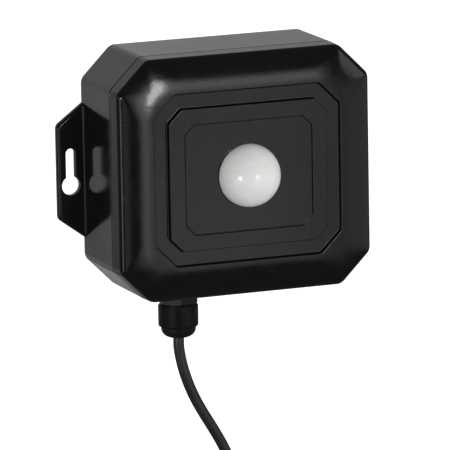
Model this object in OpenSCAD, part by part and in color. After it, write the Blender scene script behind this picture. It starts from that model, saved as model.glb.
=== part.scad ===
// Wall-mounted light sensor: an eight-sided moulded housing with a domed white lens, a keyhole
// ear on each side, a cable gland below, and its cord, wound and tied, ending in a jack plug.
// X points right and Z up, and the wall is the plane Y = 0. A depth is a distance from the
// wall towards the viewer, along -Y. All sizes are in millimetres.

/* [Housing] */
// Width of the housing
body_w = 114; // [108:1:130]
// Height of the housing
body_h = 104; // [98:1:120]
// Leg of the chamfer at each corner of the housing
body_chamfer = 13.6; // [11:0.2:16]
// Radius that softens the eight upright edges
body_round = 5; // [3:0.5:8]
// Depth of the rear base, from the wall to the seam
base_depth = 34.4; // [32:0.2:42]
// Thickness of the base's walls
wall = 2.5; // [2.4:0.1:3]
// Width of the open seam between base and cover
seam_gap = 0.4; // [0.3:0.1:0.8]

/* [Cover] */
// Depth of the cover's straight side wall
cover_side = 7.1; // [6:0.1:9]
// Radius of the cover's outer edge
edge_r = 3; // [0.8:0.1:4]
// Rise of the curved shoulder from the outer edge to the frame line
shoulder_rise = 2.5; // [2:0.1:5]
// Width of the frame line, the outer edge of the groove
frame_w = 84; // [80:0.2:88]
// Height of the frame line
frame_h = 73.2; // [70:0.2:78]
// Leg of the frame line's chamfer
frame_chamfer = 9.3; // [7:0.1:12]
// Width of the groove between the shoulder and the raised panel
groove_w = 6.3; // [4:0.1:7]
// Depth of the groove below the frame line
groove_depth = 1.7; // [1:0.1:2]
// Height of the raised panel above the frame line
panel_rise = 0.8; // [0.4:0.1:1.5]
// Width of the bare label recess in the panel
label_w = 57.8; // [54:0.2:62]
// Height of the label recess
label_h = 47.5; // [44:0.1:52]
// Depth of the label recess
label_depth = 0.4; // [0.2:0.1:0.6]

/* [Lens] */
// Outer radius of the domed lens
dome_r = 13.4; // [12:0.1:14]
// Wall thickness of the lens
dome_wall = 1.6; // [1.2:0.1:2]

/* [Mounting ears] */
// How far each ear stands out from the housing
ear_reach = 12.1; // [11.6:0.1:16]
// Half height of an ear where it meets the housing
ear_half = 29.1; // [24:0.1:34]
// Height of the ears' middle above the housing's middle
ear_z = -0.75; // [-3:0.05:3]
// Fall of the ear's slanted edge for each millimetre outwards
ear_slope = 0.74; // [0.4:0.01:1]
// Thickness of an ear
ear_thick = 3; // [2.5:0.1:4]
// Diameter of the keyhole's round entry
key_head_d = 8.2; // [7:0.1:9]
// Width of the keyhole's slot
key_slot_w = 4.3; // [4.2:0.1:5]
// Height of the entry's centre above the housing's middle
key_head_z = -6.8; // [-9:0.1:-4]
// Height of the slot's upper end above the housing's middle
key_top_z = 9.2; // [7:0.1:12]

/* [Cable gland] */
// Sideways place of the gland's axis
gland_x = -21.4; // [-26:0.1:-18]
// Depth of the gland's axis from the wall
gland_depth = 17.3; // [15:0.1:20]
// Radius of the gland's mounting thread
thread_r = 6; // [5.5:0.1:6.5]
// Size across the flats of the gland's hexagon
hex_flats = 15.2; // [14.6:0.1:17]
// Height of the hexagon
hex_h = 5.5; // [4:0.1:7]
// Turn of the hexagon about the gland's axis, in degrees
hex_turn = 21.5; // [0:0.5:60]
// Radius of the ribbed cap nut
nut_r = 8.6; // [8.2:0.1:9.2]
// Height of the cap nut's ribbed part
nut_h = 9.8; // [8:0.1:11]
// Height of the cap nut's rounded end
nut_dome_h = 4.8; // [4:0.1:6]
// Number of fine grip ribs round the cap nut
nut_ribs = 64; // [40:1:72]

/* [Cord] */
// Diameter of the cord
cord_d = 4.7; // [4.2:0.1:4.8]
// Number of wound turns, a whole number of the turns in each layer
coil_turns = 12; // [12:12:12]
// Number of layers in the wound coil
coil_layers = 4; // [4:4:4]
// Distance between neighbouring turns and layers
coil_pitch = 5.4; // [5.4:0.1:5.6]
// Radius of the coil's outermost turn
coil_r = 33; // [33:0.5:34]

/* [Circuit board] */
// Width of the board
board_w = 64; // [60:1:70]
// Height of the board
board_h = 52; // [48:1:56]
// Sideways place of the cable terminal
terminal_x = -13; // [-15:0.5:-11]

/* [Hidden] */
$fn = 64;

// Colours
gloss_black = [0.05, 0.05, 0.055];
matte_black = [0.09, 0.09, 0.09];
rubber_grey = [0.16, 0.16, 0.17];
milky_white = [0.93, 0.93, 0.91];
board_green = [0.05, 0.28, 0.14];
bare_steel = [0.72, 0.72, 0.74];
gold_plate = [0.83, 0.68, 0.35];

// Depths of the cover's levels
cover_rear = base_depth + seam_gap;
side_end = cover_rear + cover_side;
edge_sweep = 69;
shoulder_start = side_end + edge_r * sin(edge_sweep);
frame_depth = shoulder_start + shoulder_rise;
groove_floor = frame_depth - groove_depth;
panel_depth = frame_depth + panel_rise;
label_floor = panel_depth - label_depth;
pocket_depth = label_floor - 2.5;
inner_depth = groove_floor - 2.5;
panel_w = frame_w - 2 * groove_w;
panel_h = frame_h - 2 * groove_w;
draft = 0.3;

// Case fixing: four towers in the base's corners, bored from behind
tower_x = body_w / 2 - 10.5;
tower_z = body_h / 2 - 11;
tower_r = 4.2;
tower_top = base_depth - 0.2;
case_seat = 24;
case_head_r = 3.2;
case_shank_r = 1.45;
floor_t = 2.6;

// The cover's lip, inside the base's walls
lip_in = wall + 0.1;
lip_t = 1;
lip_l = 2;

// Gasket groove in the base's rim
gasket_in = 0.8;
gasket_w = 1;
gasket_sunk = 1.2;

// Lens mounting stack, from the panel's inner face towards the wall
lens_hole_r = dome_r + 0.1;
flange_r = dome_r + 2.9;
seal_t = 0.8;
flange_t = 1.6;
flange_front = pocket_depth - seal_t;
flange_rear = flange_front - flange_t;
retainer_t = 1.4;
retainer_rear = flange_rear - retainer_t;
retainer_bolt_r = 20.5;
retainer_angles = [90, 210, 330];

// Circuit board
board_front = retainer_rear - 3.6;
board_t = 1.6;
board_rear = board_front - board_t;
post_x = board_w / 2 - 5;
post_z = board_h / 2 - 6;
post_r = 2.8;

// Gland levels along Z, downwards
body_bottom = -body_h / 2;
washer_t = 1;
hex_top = body_bottom - washer_t;
hex_bottom = hex_top - hex_h;
nut_top = hex_bottom - 0.2;
nut_step = nut_top - nut_h;
nut_end = nut_step - nut_dome_h;
cord_r = cord_d / 2;
jacket_end = body_bottom + 11;

// Keyhole
key_x = body_w / 2 + 6.2;
slot_r = key_slot_w / 2;

// Terminal block
pole_pitch = 5;
terminal_w = 3 * pole_pitch + 0.4;
terminal_low = -24;
terminal_tall = 8;
terminal_deep = 10;
terminal_rear = board_rear - terminal_deep;
wire_depth = terminal_rear + 3;
wire_r = 0.7;

// Cord route: the visible stretch, in X and Z, at the gland's depth
lead_route = [[gland_x, nut_end], [gland_x, -78], [-20.6, -83], [-19.4, -88], [-17.8, -93],
              [-15.8, -98], [-13.4, -103], [-10.6, -108], [-7.6, -113], [-4.7, -118], [-2, -123],
              [0.2, -128], [1.9, -133.5], [3.1, -139.5], [3.8, -146], [4, -152], [4, -157.3]];
coil_x = 4 - coil_r;
coil_z = -162;
turns_per_layer = coil_turns / coil_layers;
coil_front = gland_depth + (coil_layers - 1) * coil_pitch;
// The far end hangs from the coil's front layer
tail_route = [[4, coil_z - cord_d], [4, -171.5], [4.3, -176], [4.7, -180.5], [5, -185], [5, -190]];
plug_x = 5;
plug_z = -190;

// Directions and corner rounding in the plane of a profile
function unit(v) = v / norm(v);
function heading(v) = atan2(v[1], v[0]);
function lerp(a, b, s) = a + (b - a) * s;
function wrap(a) = a > 180 ? a - 360 : a < -180 ? a + 360 : a;

// Points of the arc of radius r that rounds corner c between its neighbours p and n
function corner_arc(p, c, n, r, steps) =
    let (u = unit(p - c), v = unit(n - c), half = acos(u * v) / 2,
         o = c + unit(u + v) * r / sin(half),
         a0 = heading(c + u * r / tan(half) - o),
         turn = wrap(heading(c + v * r / tan(half) - o) - a0))
    [for (i = [0:steps]) o + r * [cos(a0 + turn * i / steps), sin(a0 + turn * i / steps)]];

// A closed outline with every corner rounded to radius r
function rounded(pts, r, steps) =
    let (n = len(pts))
    [for (i = [0:n - 1]) each corner_arc(pts[(i + n - 1) % n], pts[i], pts[(i + 1) % n], r, steps)];

// A rectangle w by h with chamfered corners of leg c, anticlockwise as the viewer sees it
function octagon(w, h, c) =
    [[w / 2, c - h / 2], [w / 2, h / 2 - c], [w / 2 - c, h / 2], [c - w / 2, h / 2],
     [-w / 2, h / 2 - c], [-w / 2, c - h / 2], [c - w / 2, -h / 2], [w / 2 - c, -h / 2]];

// The housing's outline, moved in by a distance all round
function body_outline(inset) =
    rounded(octagon(body_w - 2 * inset, body_h - 2 * inset, body_chamfer - inset * (2 - sqrt(2))),
            max(body_round - inset, 1), 3);

// One ring of a lofted shell: an outline at a depth
function at_depth(outline, d) = [for (p = outline) [p[0], -d, p[1]]];

// Triangles between rings of n points; a closed loft joins its last ring to the first
function loft_sides(rings, n, closed) =
    [for (i = [0:(closed ? rings - 1 : rings - 2)], j = [0:n - 1])
        let (a = i * n + j, b = i * n + (j + 1) % n,
             d = ((i + 1) % rings) * n + j, c = ((i + 1) % rings) * n + (j + 1) % n)
        each [[a, d, c], [a, c, b]]];

module loft(rings) {
    n = len(rings[0]);
    m = len(rings);
    low = [for (j = [0:n - 1]) j];
    high = [for (j = [n - 1:-1:0]) (m - 1) * n + j];
    polyhedron(points = [for (r = rings) each r],
               faces = concat(loft_sides(m, n, false), [low], [high]));
}

module closed_loft(rings) {
    polyhedron(points = [for (r = rings) each r],
               faces = loft_sides(len(rings), len(rings[0]), true));
}

// A tube of radius r along a path, with its rings kept square to the path
function path_tangent(path, i) =
    let (n = len(path) - 1)
    i == 0 ? unit(path[1] - path[0])
    : i == n ? unit(path[n] - path[n - 1])
    : unit(unit(path[i] - path[i - 1]) + unit(path[i + 1] - path[i]));
function tube_ring(p, t, r, sides, ref) =
    let (u = unit(cross(t, ref)), v = cross(u, t))
    [for (k = [0:sides - 1]) p + r * (u * cos(360 * k / sides) + v * sin(360 * k / sides))];

module tube(path, r, sides, ref) {
    loft([for (i = [0:len(path) - 1]) tube_ring(path[i], path_tangent(path, i), r, sides, ref)]);
}

// Extrudes a profile in X and Z from one depth to another
module from_wall(d0, d1) {
    translate([0, -d0, 0]) rotate([90, 0, 0]) linear_extrude(height = d1 - d0) children();
}

// Turns a profile of radius and depth round an axis square to the wall
module turned(x, z) {
    translate([x, 0, z]) rotate([90, 0, 0]) rotate_extrude() children();
}

// Turns a profile of radius and height round the gland's axis
module on_gland() {
    translate([gland_x, -gland_depth, 0]) rotate_extrude() children();
}

// A ring of square section, between two radii and two levels
module collar(r0, r1, low, high) {
    polygon([[r0, low], [r1, low], [r1, high], [r0, high]]);
}

module at_towers() {
    for (x = [-tower_x, tower_x], z = [-tower_z, tower_z]) translate([x, 0, z]) children();
}

module at_posts() {
    for (x = [-post_x, post_x], z = [-post_z, post_z]) translate([x, 0, z]) children();
}

module at_retainer_bolts() {
    for (a = retainer_angles)
        translate([retainer_bolt_r * cos(a), 0, retainer_bolt_r * sin(a)]) children();
}

// A pan-head screw whose head rests at depth seat; its shank points away from the wall
module screw(seat, head_r, head_h, shank_r, shank_l) {
    turned(0, 0)
        polygon([[0, seat - head_h], [head_r * 0.62, seat - head_h], [head_r, seat - head_h * 0.45],
                 [head_r, seat], [shank_r, seat], [shank_r, seat + shank_l - shank_r],
                 [0, seat + shank_l]]);
}

// An ear's outline: slanted above and below, straight outside, with softened outer corners
function ear_outline(inset) =
    let (x0 = body_w / 2 - wall, x1 = body_w / 2 + ear_reach - inset,
         fall = inset * sqrt(1 + ear_slope * ear_slope),
         z0 = ear_half + wall * ear_slope - fall,
         z1 = z0 - (x1 - x0) * ear_slope)
    [for (p = concat([[x0, -z0]], corner_arc([x0, -z0], [x1, -z1], [x1, z1], 3, 4),
                     corner_arc([x1, -z1], [x1, z1], [x0, z0], 3, 4), [[x0, z0]]))
        p + [0, ear_z]];

module ear() {
    loft([at_depth(ear_outline(0), 0), at_depth(ear_outline(0), ear_thick - 1.2),
          at_depth(ear_outline(0.35), ear_thick - 0.4), at_depth(ear_outline(1.1), ear_thick)]);
}

module keyhole() {
    from_wall(-1, ear_thick + 1) {
        translate([key_x, key_head_z]) circle(r = key_head_d / 2);
        translate([key_x - slot_r, key_head_z]) square([key_slot_w, key_top_z - slot_r - key_head_z]);
        translate([key_x, key_top_z - slot_r]) circle(r = slot_r);
    }
}

module rear_base() {
    color(gloss_black) difference() {
        union() {
            difference() {
                from_wall(0, base_depth) polygon(body_outline(0));
                from_wall(floor_t, base_depth + 1) polygon(body_outline(wall));
            }
            at_towers() from_wall(0, tower_top) circle(r = tower_r);
            for (side = [0, 1]) mirror([side, 0, 0]) ear();
        }
        // Rim groove for the gasket
        from_wall(base_depth - gasket_sunk, base_depth + 1) difference() {
            polygon(body_outline(gasket_in));
            polygon(body_outline(gasket_in + gasket_w));
        }
        // Counterbores and clearance holes for the case screws
        at_towers() {
            from_wall(-1, case_seat) circle(r = case_head_r + 0.4);
            from_wall(case_seat - 1, tower_top + 1) circle(r = case_shank_r + 0.4);
        }
        for (side = [0, 1]) mirror([side, 0, 0]) keyhole();
        translate([gland_x, -gland_depth, body_bottom - 1]) cylinder(r = thread_r + 0.1, h = wall + 2);
    }
}

// The shell's rings run up the outside from the seam, over the edge, shoulder, groove and
// panel to the lens opening, and back along the inside to the lip that drops into the base.
function cover_ring(w, h, c, r, d) = at_depth(rounded(octagon(w, h, c), r, 3), d);

function edge_rings() =
    [for (i = [0:6])
        let (a = edge_sweep * i / 6)
        at_depth(body_outline(edge_r * (1 - cos(a))), side_end + edge_r * sin(a))];

function shoulder_rings() =
    let (inset = edge_r * (1 - cos(edge_sweep)))
    [for (i = [1:7])
        let (s = i / 7)
        cover_ring(lerp(body_w - 2 * inset, frame_w, s), lerp(body_h - 2 * inset, frame_h, s),
                   lerp(body_chamfer - 0.586 * inset, frame_chamfer, s),
                   lerp(body_round - inset, 2, s), shoulder_start + shoulder_rise * (1 - pow(1 - s, 2)))];

// A rectangle with a uniform margin inside the frame line
function framed(margin, r, d) =
    cover_ring(frame_w - 2 * margin, frame_h - 2 * margin, frame_chamfer - 0.586 * margin, r, d);

function front_rings() =
    [framed(draft / 2, 2, groove_floor), framed(groove_w - draft / 2, 1.6, groove_floor),
     framed(groove_w, 1.6, panel_depth), cover_ring(label_w, label_h, 4.4, 1.2, panel_depth),
     cover_ring(label_w - draft, label_h - draft, 4.3, 1.2, label_floor)];

function hole_ring(d) =
    at_depth([for (p = rounded(octagon(label_w, label_h, 4.4), 1.2, 3)) 9 * unit(p)], d);

function inner_rings() =
    [hole_ring(pocket_depth), framed(groove_w + 2.5, 1.2, pocket_depth),
     framed(groove_w + 2.5, 1.2, inner_depth), at_depth(body_outline(9), inner_depth),
     at_depth(body_outline(lip_in + lip_t), inner_depth - 2.2),
     at_depth(body_outline(lip_in + lip_t), base_depth - lip_l),
     at_depth(body_outline(lip_in), base_depth - lip_l), at_depth(body_outline(lip_in), cover_rear)];

module front_cover() {
    color(gloss_black) difference() {
        union() {
            closed_loft(concat([at_depth(body_outline(0), cover_rear)], edge_rings(),
                               shoulder_rings(), front_rings(), [hole_ring(label_floor)],
                               inner_rings()));
            at_towers() from_wall(cover_rear - 0.2, inner_depth + 0.2) circle(r = tower_r);
            at_posts() from_wall(board_front, pocket_depth + 0.2) circle(r = post_r);
            at_retainer_bolts() from_wall(flange_rear, pocket_depth + 0.2) circle(r = 2.6);
        }
        from_wall(pocket_depth - 1, label_floor + 1) circle(r = lens_hole_r);
        // Room for the base's towers, and pilot holes for the case screws
        at_towers() from_wall(base_depth - lip_l - 1, cover_rear - 0.2) circle(r = tower_r + 0.3);
        at_towers() from_wall(cover_rear - 1, side_end - 2) circle(r = case_shank_r + 0.05);
        at_posts() from_wall(board_front - 1, pocket_depth - 1) circle(r = 1);
        at_retainer_bolts() from_wall(flange_rear - 1, pocket_depth - 0.2) circle(r = 0.9);
    }
}

module cover_gasket() {
    color(rubber_grey) from_wall(base_depth - gasket_sunk, cover_rear) difference() {
        polygon(body_outline(gasket_in));
        polygon(body_outline(gasket_in + gasket_w));
    }
}

module case_screws() {
    color(bare_steel) at_towers() screw(case_seat, case_head_r, 2.4, case_shank_r, 15);
}

// Quarter circle of a dome's wall, from its rim to its top, in radius and depth
function dome_curve(r, steps) =
    [for (i = [0:steps]) [r * cos(90 * i / steps), label_floor + r * sin(90 * i / steps)]];

module dome_lens() {
    inner_r = dome_r - dome_wall;
    color(milky_white) difference() {
        union() {
            translate([0, -label_floor, 0]) sphere(r = dome_r);
            turned(0, 0) collar(0, dome_r, flange_rear, label_floor);
            turned(0, 0) collar(0, flange_r, flange_rear, flange_front);
        }
        translate([0, -label_floor, 0]) sphere(r = inner_r);
        turned(0, 0) collar(0, inner_r, flange_rear - dome_r, label_floor);
        turned(0, 0) collar(inner_r - 0.5, dome_r + 1, flange_rear - dome_r - 1, flange_rear);
    }
}

module lens_seal() {
    color(rubber_grey) turned(0, 0) collar(lens_hole_r + 0.1, flange_r, flange_front, pocket_depth);
}

module lens_retainer() {
    color(matte_black) difference() {
        union() {
            from_wall(retainer_rear, flange_rear) circle(r = flange_r + 1);
            at_retainer_bolts() from_wall(retainer_rear, flange_rear) circle(r = 3.4);
        }
        from_wall(retainer_rear - 1, flange_rear + 1) circle(r = dome_r - dome_wall + 0.3);
        at_retainer_bolts() from_wall(retainer_rear - 1, flange_rear + 1) circle(r = 1.1);
    }
}

module retainer_screws() {
    color(bare_steel) at_retainer_bolts() screw(retainer_rear, 1.9, 1.3, 0.85, 3.4);
}

module light_shield() {
    color(matte_black) turned(0, 0)
        polygon([[6.8, board_front], [9.5, board_front], [9.5, board_front + 1], [8, board_front + 1],
                 [8, label_floor - 2.6], [6.8, label_floor - 2.6]]);
}

module photodiode() {
    color([0.75, 0.74, 0.7]) union() {
        from_wall(board_front, board_front + 1.2) square(5.6, center = true);
        from_wall(board_front + 1.2, board_front + 1.9) circle(r = 2.1);
    }
}

module circuit_board() {
    color(board_green) difference() {
        from_wall(board_rear, board_front) polygon(rounded(octagon(board_w, board_h, 3), 1, 2));
        at_posts() from_wall(board_rear - 1, board_front + 1) circle(r = 1.3);
    }
}

module board_screws() {
    color(bare_steel) at_posts() screw(board_rear, 2.2, 1.5, 0.95, 5.5);
}

// A flat chip on the wall side of the board, with a row of leads along its two upright sides
module chip(x, z, size, pins) {
    translate([x, 0, z]) {
        from_wall(board_rear - 1.2, board_rear - 0.15) square(size, center = true);
        for (side = [-1, 1], i = [0:pins - 1])
            from_wall(board_rear - 0.5, board_rear)
                translate([side * (size / 2 + 0.5), size * ((i + 0.5) / pins - 0.5)])
                    square([1.4, 0.45], center = true);
    }
}

module main_chip() {
    color(matte_black) chip(4, 10, 10, 10);
}

module amplifier_chip() {
    color(matte_black) chip(-14, 8, 5, 4);
}

module capacitors() {
    color([0.2, 0.22, 0.3]) for (x = [12, 21])
        turned(x, -14) polygon([[0, board_rear - 7], [2.6, board_rear - 7], [3.2, board_rear - 6.4],
                                [3.2, board_rear - 1.2], [2.9, board_rear - 0.9], [3.2, board_rear - 0.6],
                                [3.2, board_rear], [0, board_rear]]);
}

module resistors() {
    color([0.12, 0.12, 0.13]) for (i = [0:5])
        from_wall(board_rear - 0.6, board_rear)
            translate([-22 + i * 3.4, -4]) square([1.2, 2.4], center = true);
}

module at_poles() {
    for (i = [-1:1]) translate([terminal_x + i * pole_pitch, 0, 0]) children();
}

module terminal_block() {
    color([0.1, 0.42, 0.2]) difference() {
        union() {
            from_wall(terminal_rear + 2.5, board_rear)
                translate([terminal_x - terminal_w / 2, terminal_low]) square([terminal_w, terminal_tall]);
            from_wall(terminal_rear, terminal_rear + 2.5)
                translate([terminal_x - terminal_w / 2, terminal_low + 1.5])
                    square([terminal_w, terminal_tall - 1.5]);
        }
        at_poles() {
            translate([0, -wire_depth - 1.5, terminal_low - 1]) cylinder(r = 1.4, h = 6);
            from_wall(terminal_rear - 1, terminal_rear + 2) translate([0, terminal_low + 4.6]) circle(r = 1.9);
        }
    }
}

module terminal_screws() {
    color(bare_steel) at_poles() difference() {
        from_wall(terminal_rear + 0.5, terminal_rear + 2) translate([0, terminal_low + 4.6]) circle(r = 1.8);
        from_wall(terminal_rear, terminal_rear + 1)
            translate([0, terminal_low + 4.6]) square([3, 0.5], center = true);
    }
}

// A wire from the jacket's end to its pole, on a curve with two control points
function wire_point(from_x, to_x, s) =
    let (p0 = [from_x, -gland_depth, jacket_end], p1 = [from_x, -gland_depth, jacket_end + 9],
         p2 = [to_x, -wire_depth - 1.5, terminal_low - 10], p3 = [to_x, -wire_depth - 1.5, terminal_low + 2])
    pow(1 - s, 3) * p0 + 3 * pow(1 - s, 2) * s * p1 + 3 * (1 - s) * s * s * p2 + s * s * s * p3;

module wire(i) {
    tube([for (k = [0:10]) wire_point(gland_x + 1.5 * i, terminal_x + i * pole_pitch, k / 10)],
         wire_r, 8, [1, 0, 0]);
}

module wire_red() {
    color([0.65, 0.06, 0.05]) wire(-1);
}

module wire_white() {
    color([0.88, 0.88, 0.86]) wire(0);
}

module wire_black() {
    color([0.08, 0.08, 0.08]) wire(1);
}

module hexagon(flats, low, high) {
    translate([gland_x, -gland_depth, low]) rotate([0, 0, hex_turn])
        cylinder(r = flats / 2 / cos(30), h = high - low, $fn = 6);
}

module gland_body() {
    color(matte_black) difference() {
        union() {
            // The hexagon, with its lower corners broken by a cone
            intersection() {
                hexagon(hex_flats, hex_bottom, hex_top);
                on_gland() polygon([[0, hex_bottom], [hex_flats / 2, hex_bottom],
                                    [hex_flats / 2 + 1.4, hex_bottom + 0.8],
                                    [hex_flats / 2 + 1.4, hex_top], [0, hex_top]]);
            }
            on_gland() collar(0, thread_r, hex_top - 1, body_bottom + wall + 5.5);
            on_gland() collar(0, 6.6, nut_step + 2.2, hex_bottom + 1);
        }
        on_gland() collar(0, cord_r + 0.25, nut_step, jacket_end);
        on_gland() collar(0, 4.9, nut_step, hex_bottom - 2.5);
    }
}

module gland_washer() {
    color(rubber_grey) on_gland() collar(thread_r + 0.1, hex_flats / 2 + 0.6, hex_top, body_bottom);
}

module gland_lock_nut() {
    low = body_bottom + wall;
    color(matte_black) difference() {
        hexagon(17, low, low + 4.5);
        on_gland() collar(0, thread_r + 0.05, low - 1, low + 6);
    }
}

module gland_seal() {
    color(rubber_grey) on_gland()
        polygon([[cord_r + 0.05, hex_bottom - 2.5], [4.8, hex_bottom - 2.5], [4.8, nut_step - 0.6],
                 [3.9, nut_step - 1.8], [cord_r + 0.05, nut_step - 1.8]]);
}

// Fine ribs round the cap nut: crest and root points in turn
function ribbed(r, ribs) =
    [for (i = [0:2 * ribs - 1])
        let (q = i % 2 == 0 ? r : r - 0.35, a = 180 * i / ribs) q * [cos(a), sin(a)]];

// The rounded end's profile, from the step to the mouth
function cap_curve(steps) =
    let (wide = nut_r - 1.2, mouth = cord_r + 0.9)
    [for (i = [0:steps])
        let (a = 90 * i / steps)
        [mouth + (wide - mouth) * cos(a), nut_step - 0.9 - (nut_dome_h - 0.9) * sin(a)]];

module gland_nut() {
    color(matte_black) difference() {
        union() {
            translate([gland_x, -gland_depth, nut_step]) linear_extrude(height = nut_h)
                polygon(ribbed(nut_r, nut_ribs));
            on_gland() polygon(concat([[0, nut_step + 0.5], [nut_r - 0.4, nut_step + 0.5],
                                       [nut_r - 0.4, nut_step]],
                                      cap_curve(8), [[0, nut_end]]));
        }
        on_gland() collar(0, 6.7, nut_step + 2, nut_top + 1);
        on_gland() collar(0, 4.9, nut_step - 1.9, nut_step + 3);
        on_gland() polygon([[0, nut_end - 1], [cord_r + 0.6, nut_end - 1], [cord_r + 0.6, nut_end + 0.8],
                            [cord_r + 0.15, nut_end + 1.2], [cord_r + 0.15, nut_step], [0, nut_step]]);
    }
}

module cord_inner() {
    color(matte_black) on_gland() collar(0, cord_r, nut_end, jacket_end);
}

// Points of a flat stretch of cord at one depth
function cord_path(route, d) = [for (p = route) [p[0], -d, p[1]]];

module cord_lead() {
    color(matte_black) tube(cord_path(lead_route, gland_depth), cord_r, 8, [0, 1, 0]);
}

// The wound cord spirals in and out, layer by layer. Its radius falls and rises at a steady
// rate, and it climbs to the next layer in the half turn where the spiral reverses.
function coil_radius(t) =
    let (k = floor(t / turns_per_layer), s = t - k * turns_per_layer)
    coil_r - coil_pitch * (k % 2 == 0 ? s : turns_per_layer - s);
function smooth(s) = s <= 0 ? 0 : s >= 1 ? 1 : s * s * (3 - 2 * s);
function coil_depth(t) =
    gland_depth + coil_pitch * add([for (k = [1:coil_layers - 1])
        smooth((t - k * turns_per_layer) * 2 + 0.5)]);
function add(v, i = 0) = i == len(v) ? 0 : v[i] + add(v, i + 1);
function coil_point(t) =
    [coil_x + coil_radius(t) * cos(360 * t), -coil_depth(t), coil_z - coil_radius(t) * sin(360 * t)];
coil_steps = 24;
function coil_path() =
    concat([[4, -gland_depth, coil_z + cord_d]],
           [for (i = [0:coil_turns * coil_steps]) coil_point(i / coil_steps)],
           [[4, -coil_front, coil_z - cord_d]]);

// Least distance between the centres of turns that lie side by side
function least_gap(p) =
    min([for (i = [1:len(p) - 2], j = [i + coil_steps / 2:len(p) - 2]) norm(p[i] - p[j])]);

module cord_coil() {
    echo(coil_gap = least_gap(coil_path()) - cord_d);
    color(matte_black) tube(coil_path(), cord_r, 6, [0, 1, 0]);
}

module cord_tail() {
    color(matte_black) tube(cord_path(tail_route, coil_front), cord_r, 8, [0, 1, 0]);
}

// A flat strap round the wound turns, at an angle seen from the front
module strap(angle) {
    low_r = coil_r - turns_per_layer * coil_pitch - cord_r - 0.2;
    high_r = coil_r + cord_r + 0.2;
    low_d = gland_depth - cord_r - 0.2;
    high_d = coil_front + cord_r + 0.2;
    strap_t = 1.1;
    strap_w = 5;
    box = [[low_r, -high_d], [high_r, -high_d], [high_r, -low_d], [low_r, -low_d]];
    grown = [[low_r - strap_t, -high_d - strap_t], [high_r + strap_t, -high_d - strap_t],
             [high_r + strap_t, -low_d + strap_t], [low_r - strap_t, -low_d + strap_t]];
    translate([coil_x, 0, coil_z]) rotate([0, -angle, 0]) translate([0, 0, -strap_w / 2])
        linear_extrude(height = strap_w) difference() {
            polygon(rounded(grown, 3.2, 4));
            polygon(rounded(box, 2.1, 4));
        }
}

module cord_ties() {
    color([0.13, 0.13, 0.14]) for (angle = [62, 242]) strap(angle);
}

// Turns a profile of radius and distance below the plug's cord end
module on_plug() {
    translate([plug_x, -coil_front, plug_z]) mirror([0, 0, 1]) rotate_extrude() children();
}

// The moulded grip: a ribbed, tapering strain relief and a waisted barrel
module plug_grip() {
    color(matte_black) on_plug() union() {
        polygon([[0, 0], [3, 0], [3.9, 14], [0, 14]]);
        for (i = [0:4]) collar(0, 3.7 + 0.14 * i, 1.5 + 2.6 * i, 2.9 + 2.6 * i);
        polygon([[0, 13.8], [4.3, 13.8], [4.8, 14.6], [4.8, 17], [4.5, 20], [4.5, 26], [4.8, 29],
                 [4.8, 31], [4.2, 32], [0, 32]]);
    }
}

module plug_contacts() {
    color(gold_plate) on_plug() union() {
        polygon([[0, 32], [3.1, 32], [3.1, 33], [1.75, 33.3], [1.75, 39], [0, 39]]);
        collar(0, 1.75, 40, 42.2);
        polygon([[0, 43.1], [1.75, 43.1], [1.75, 43.7], [1.3, 44.5], [1.75, 45.4], [1.5, 46.2],
                 [0.6, 47], [0, 47]]);
    }
}

module plug_insulators() {
    color(matte_black) on_plug() {
        collar(0, 1.72, 39, 40);
        collar(0, 1.72, 42.2, 43.1);
    }
}

rear_base();
front_cover();
cover_gasket();
case_screws();
dome_lens();
lens_seal();
lens_retainer();
retainer_screws();
light_shield();
photodiode();
circuit_board();
board_screws();
main_chip();
amplifier_chip();
capacitors();
resistors();
terminal_block();
terminal_screws();
wire_red();
wire_white();
wire_black();
gland_body();
gland_washer();
gland_lock_nut();
gland_seal();
gland_nut();
cord_inner();
cord_lead();
cord_coil();
cord_tail();
cord_ties();
plug_grip();
plug_contacts();
plug_insulators();
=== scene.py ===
"""Looks of the wall-mounted light sensor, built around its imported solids. All lengths are in metres."""
from math import acos, asin, atan2, cos, hypot, pi, radians, sin, tan

import bmesh
import bpy
from mathutils import Matrix, Vector


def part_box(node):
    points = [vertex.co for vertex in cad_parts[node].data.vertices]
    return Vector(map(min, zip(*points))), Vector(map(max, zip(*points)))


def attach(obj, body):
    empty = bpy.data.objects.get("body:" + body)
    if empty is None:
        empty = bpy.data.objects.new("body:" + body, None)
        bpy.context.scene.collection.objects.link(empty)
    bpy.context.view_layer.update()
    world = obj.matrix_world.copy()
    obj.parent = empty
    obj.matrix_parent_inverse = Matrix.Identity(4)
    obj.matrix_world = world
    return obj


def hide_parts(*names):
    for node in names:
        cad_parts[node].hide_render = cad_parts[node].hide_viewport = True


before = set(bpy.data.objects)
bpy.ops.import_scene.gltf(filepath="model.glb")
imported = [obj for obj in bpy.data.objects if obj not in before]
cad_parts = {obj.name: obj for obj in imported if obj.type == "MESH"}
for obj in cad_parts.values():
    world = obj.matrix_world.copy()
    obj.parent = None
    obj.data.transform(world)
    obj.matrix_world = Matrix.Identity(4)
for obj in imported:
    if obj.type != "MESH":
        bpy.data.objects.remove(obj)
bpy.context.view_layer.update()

MM = 0.001
# Points nearer than this are one
TINY = 1e-7

# Camera fitted to the photograph: angles in degrees, lens and film width in millimetres
VIEW_TURN, VIEW_RISE, VIEW_ROLL = -21.546, 11.372, -1.027
VIEW_DISTANCE = 2.6712
VIEW_TARGET = Vector((-0.004287, -0.03, -0.02417))
VIEW_LENS = 504.8
VIEW_FILM = 36
VIEW_NEAR, VIEW_FAR = 0.1, 60

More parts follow.
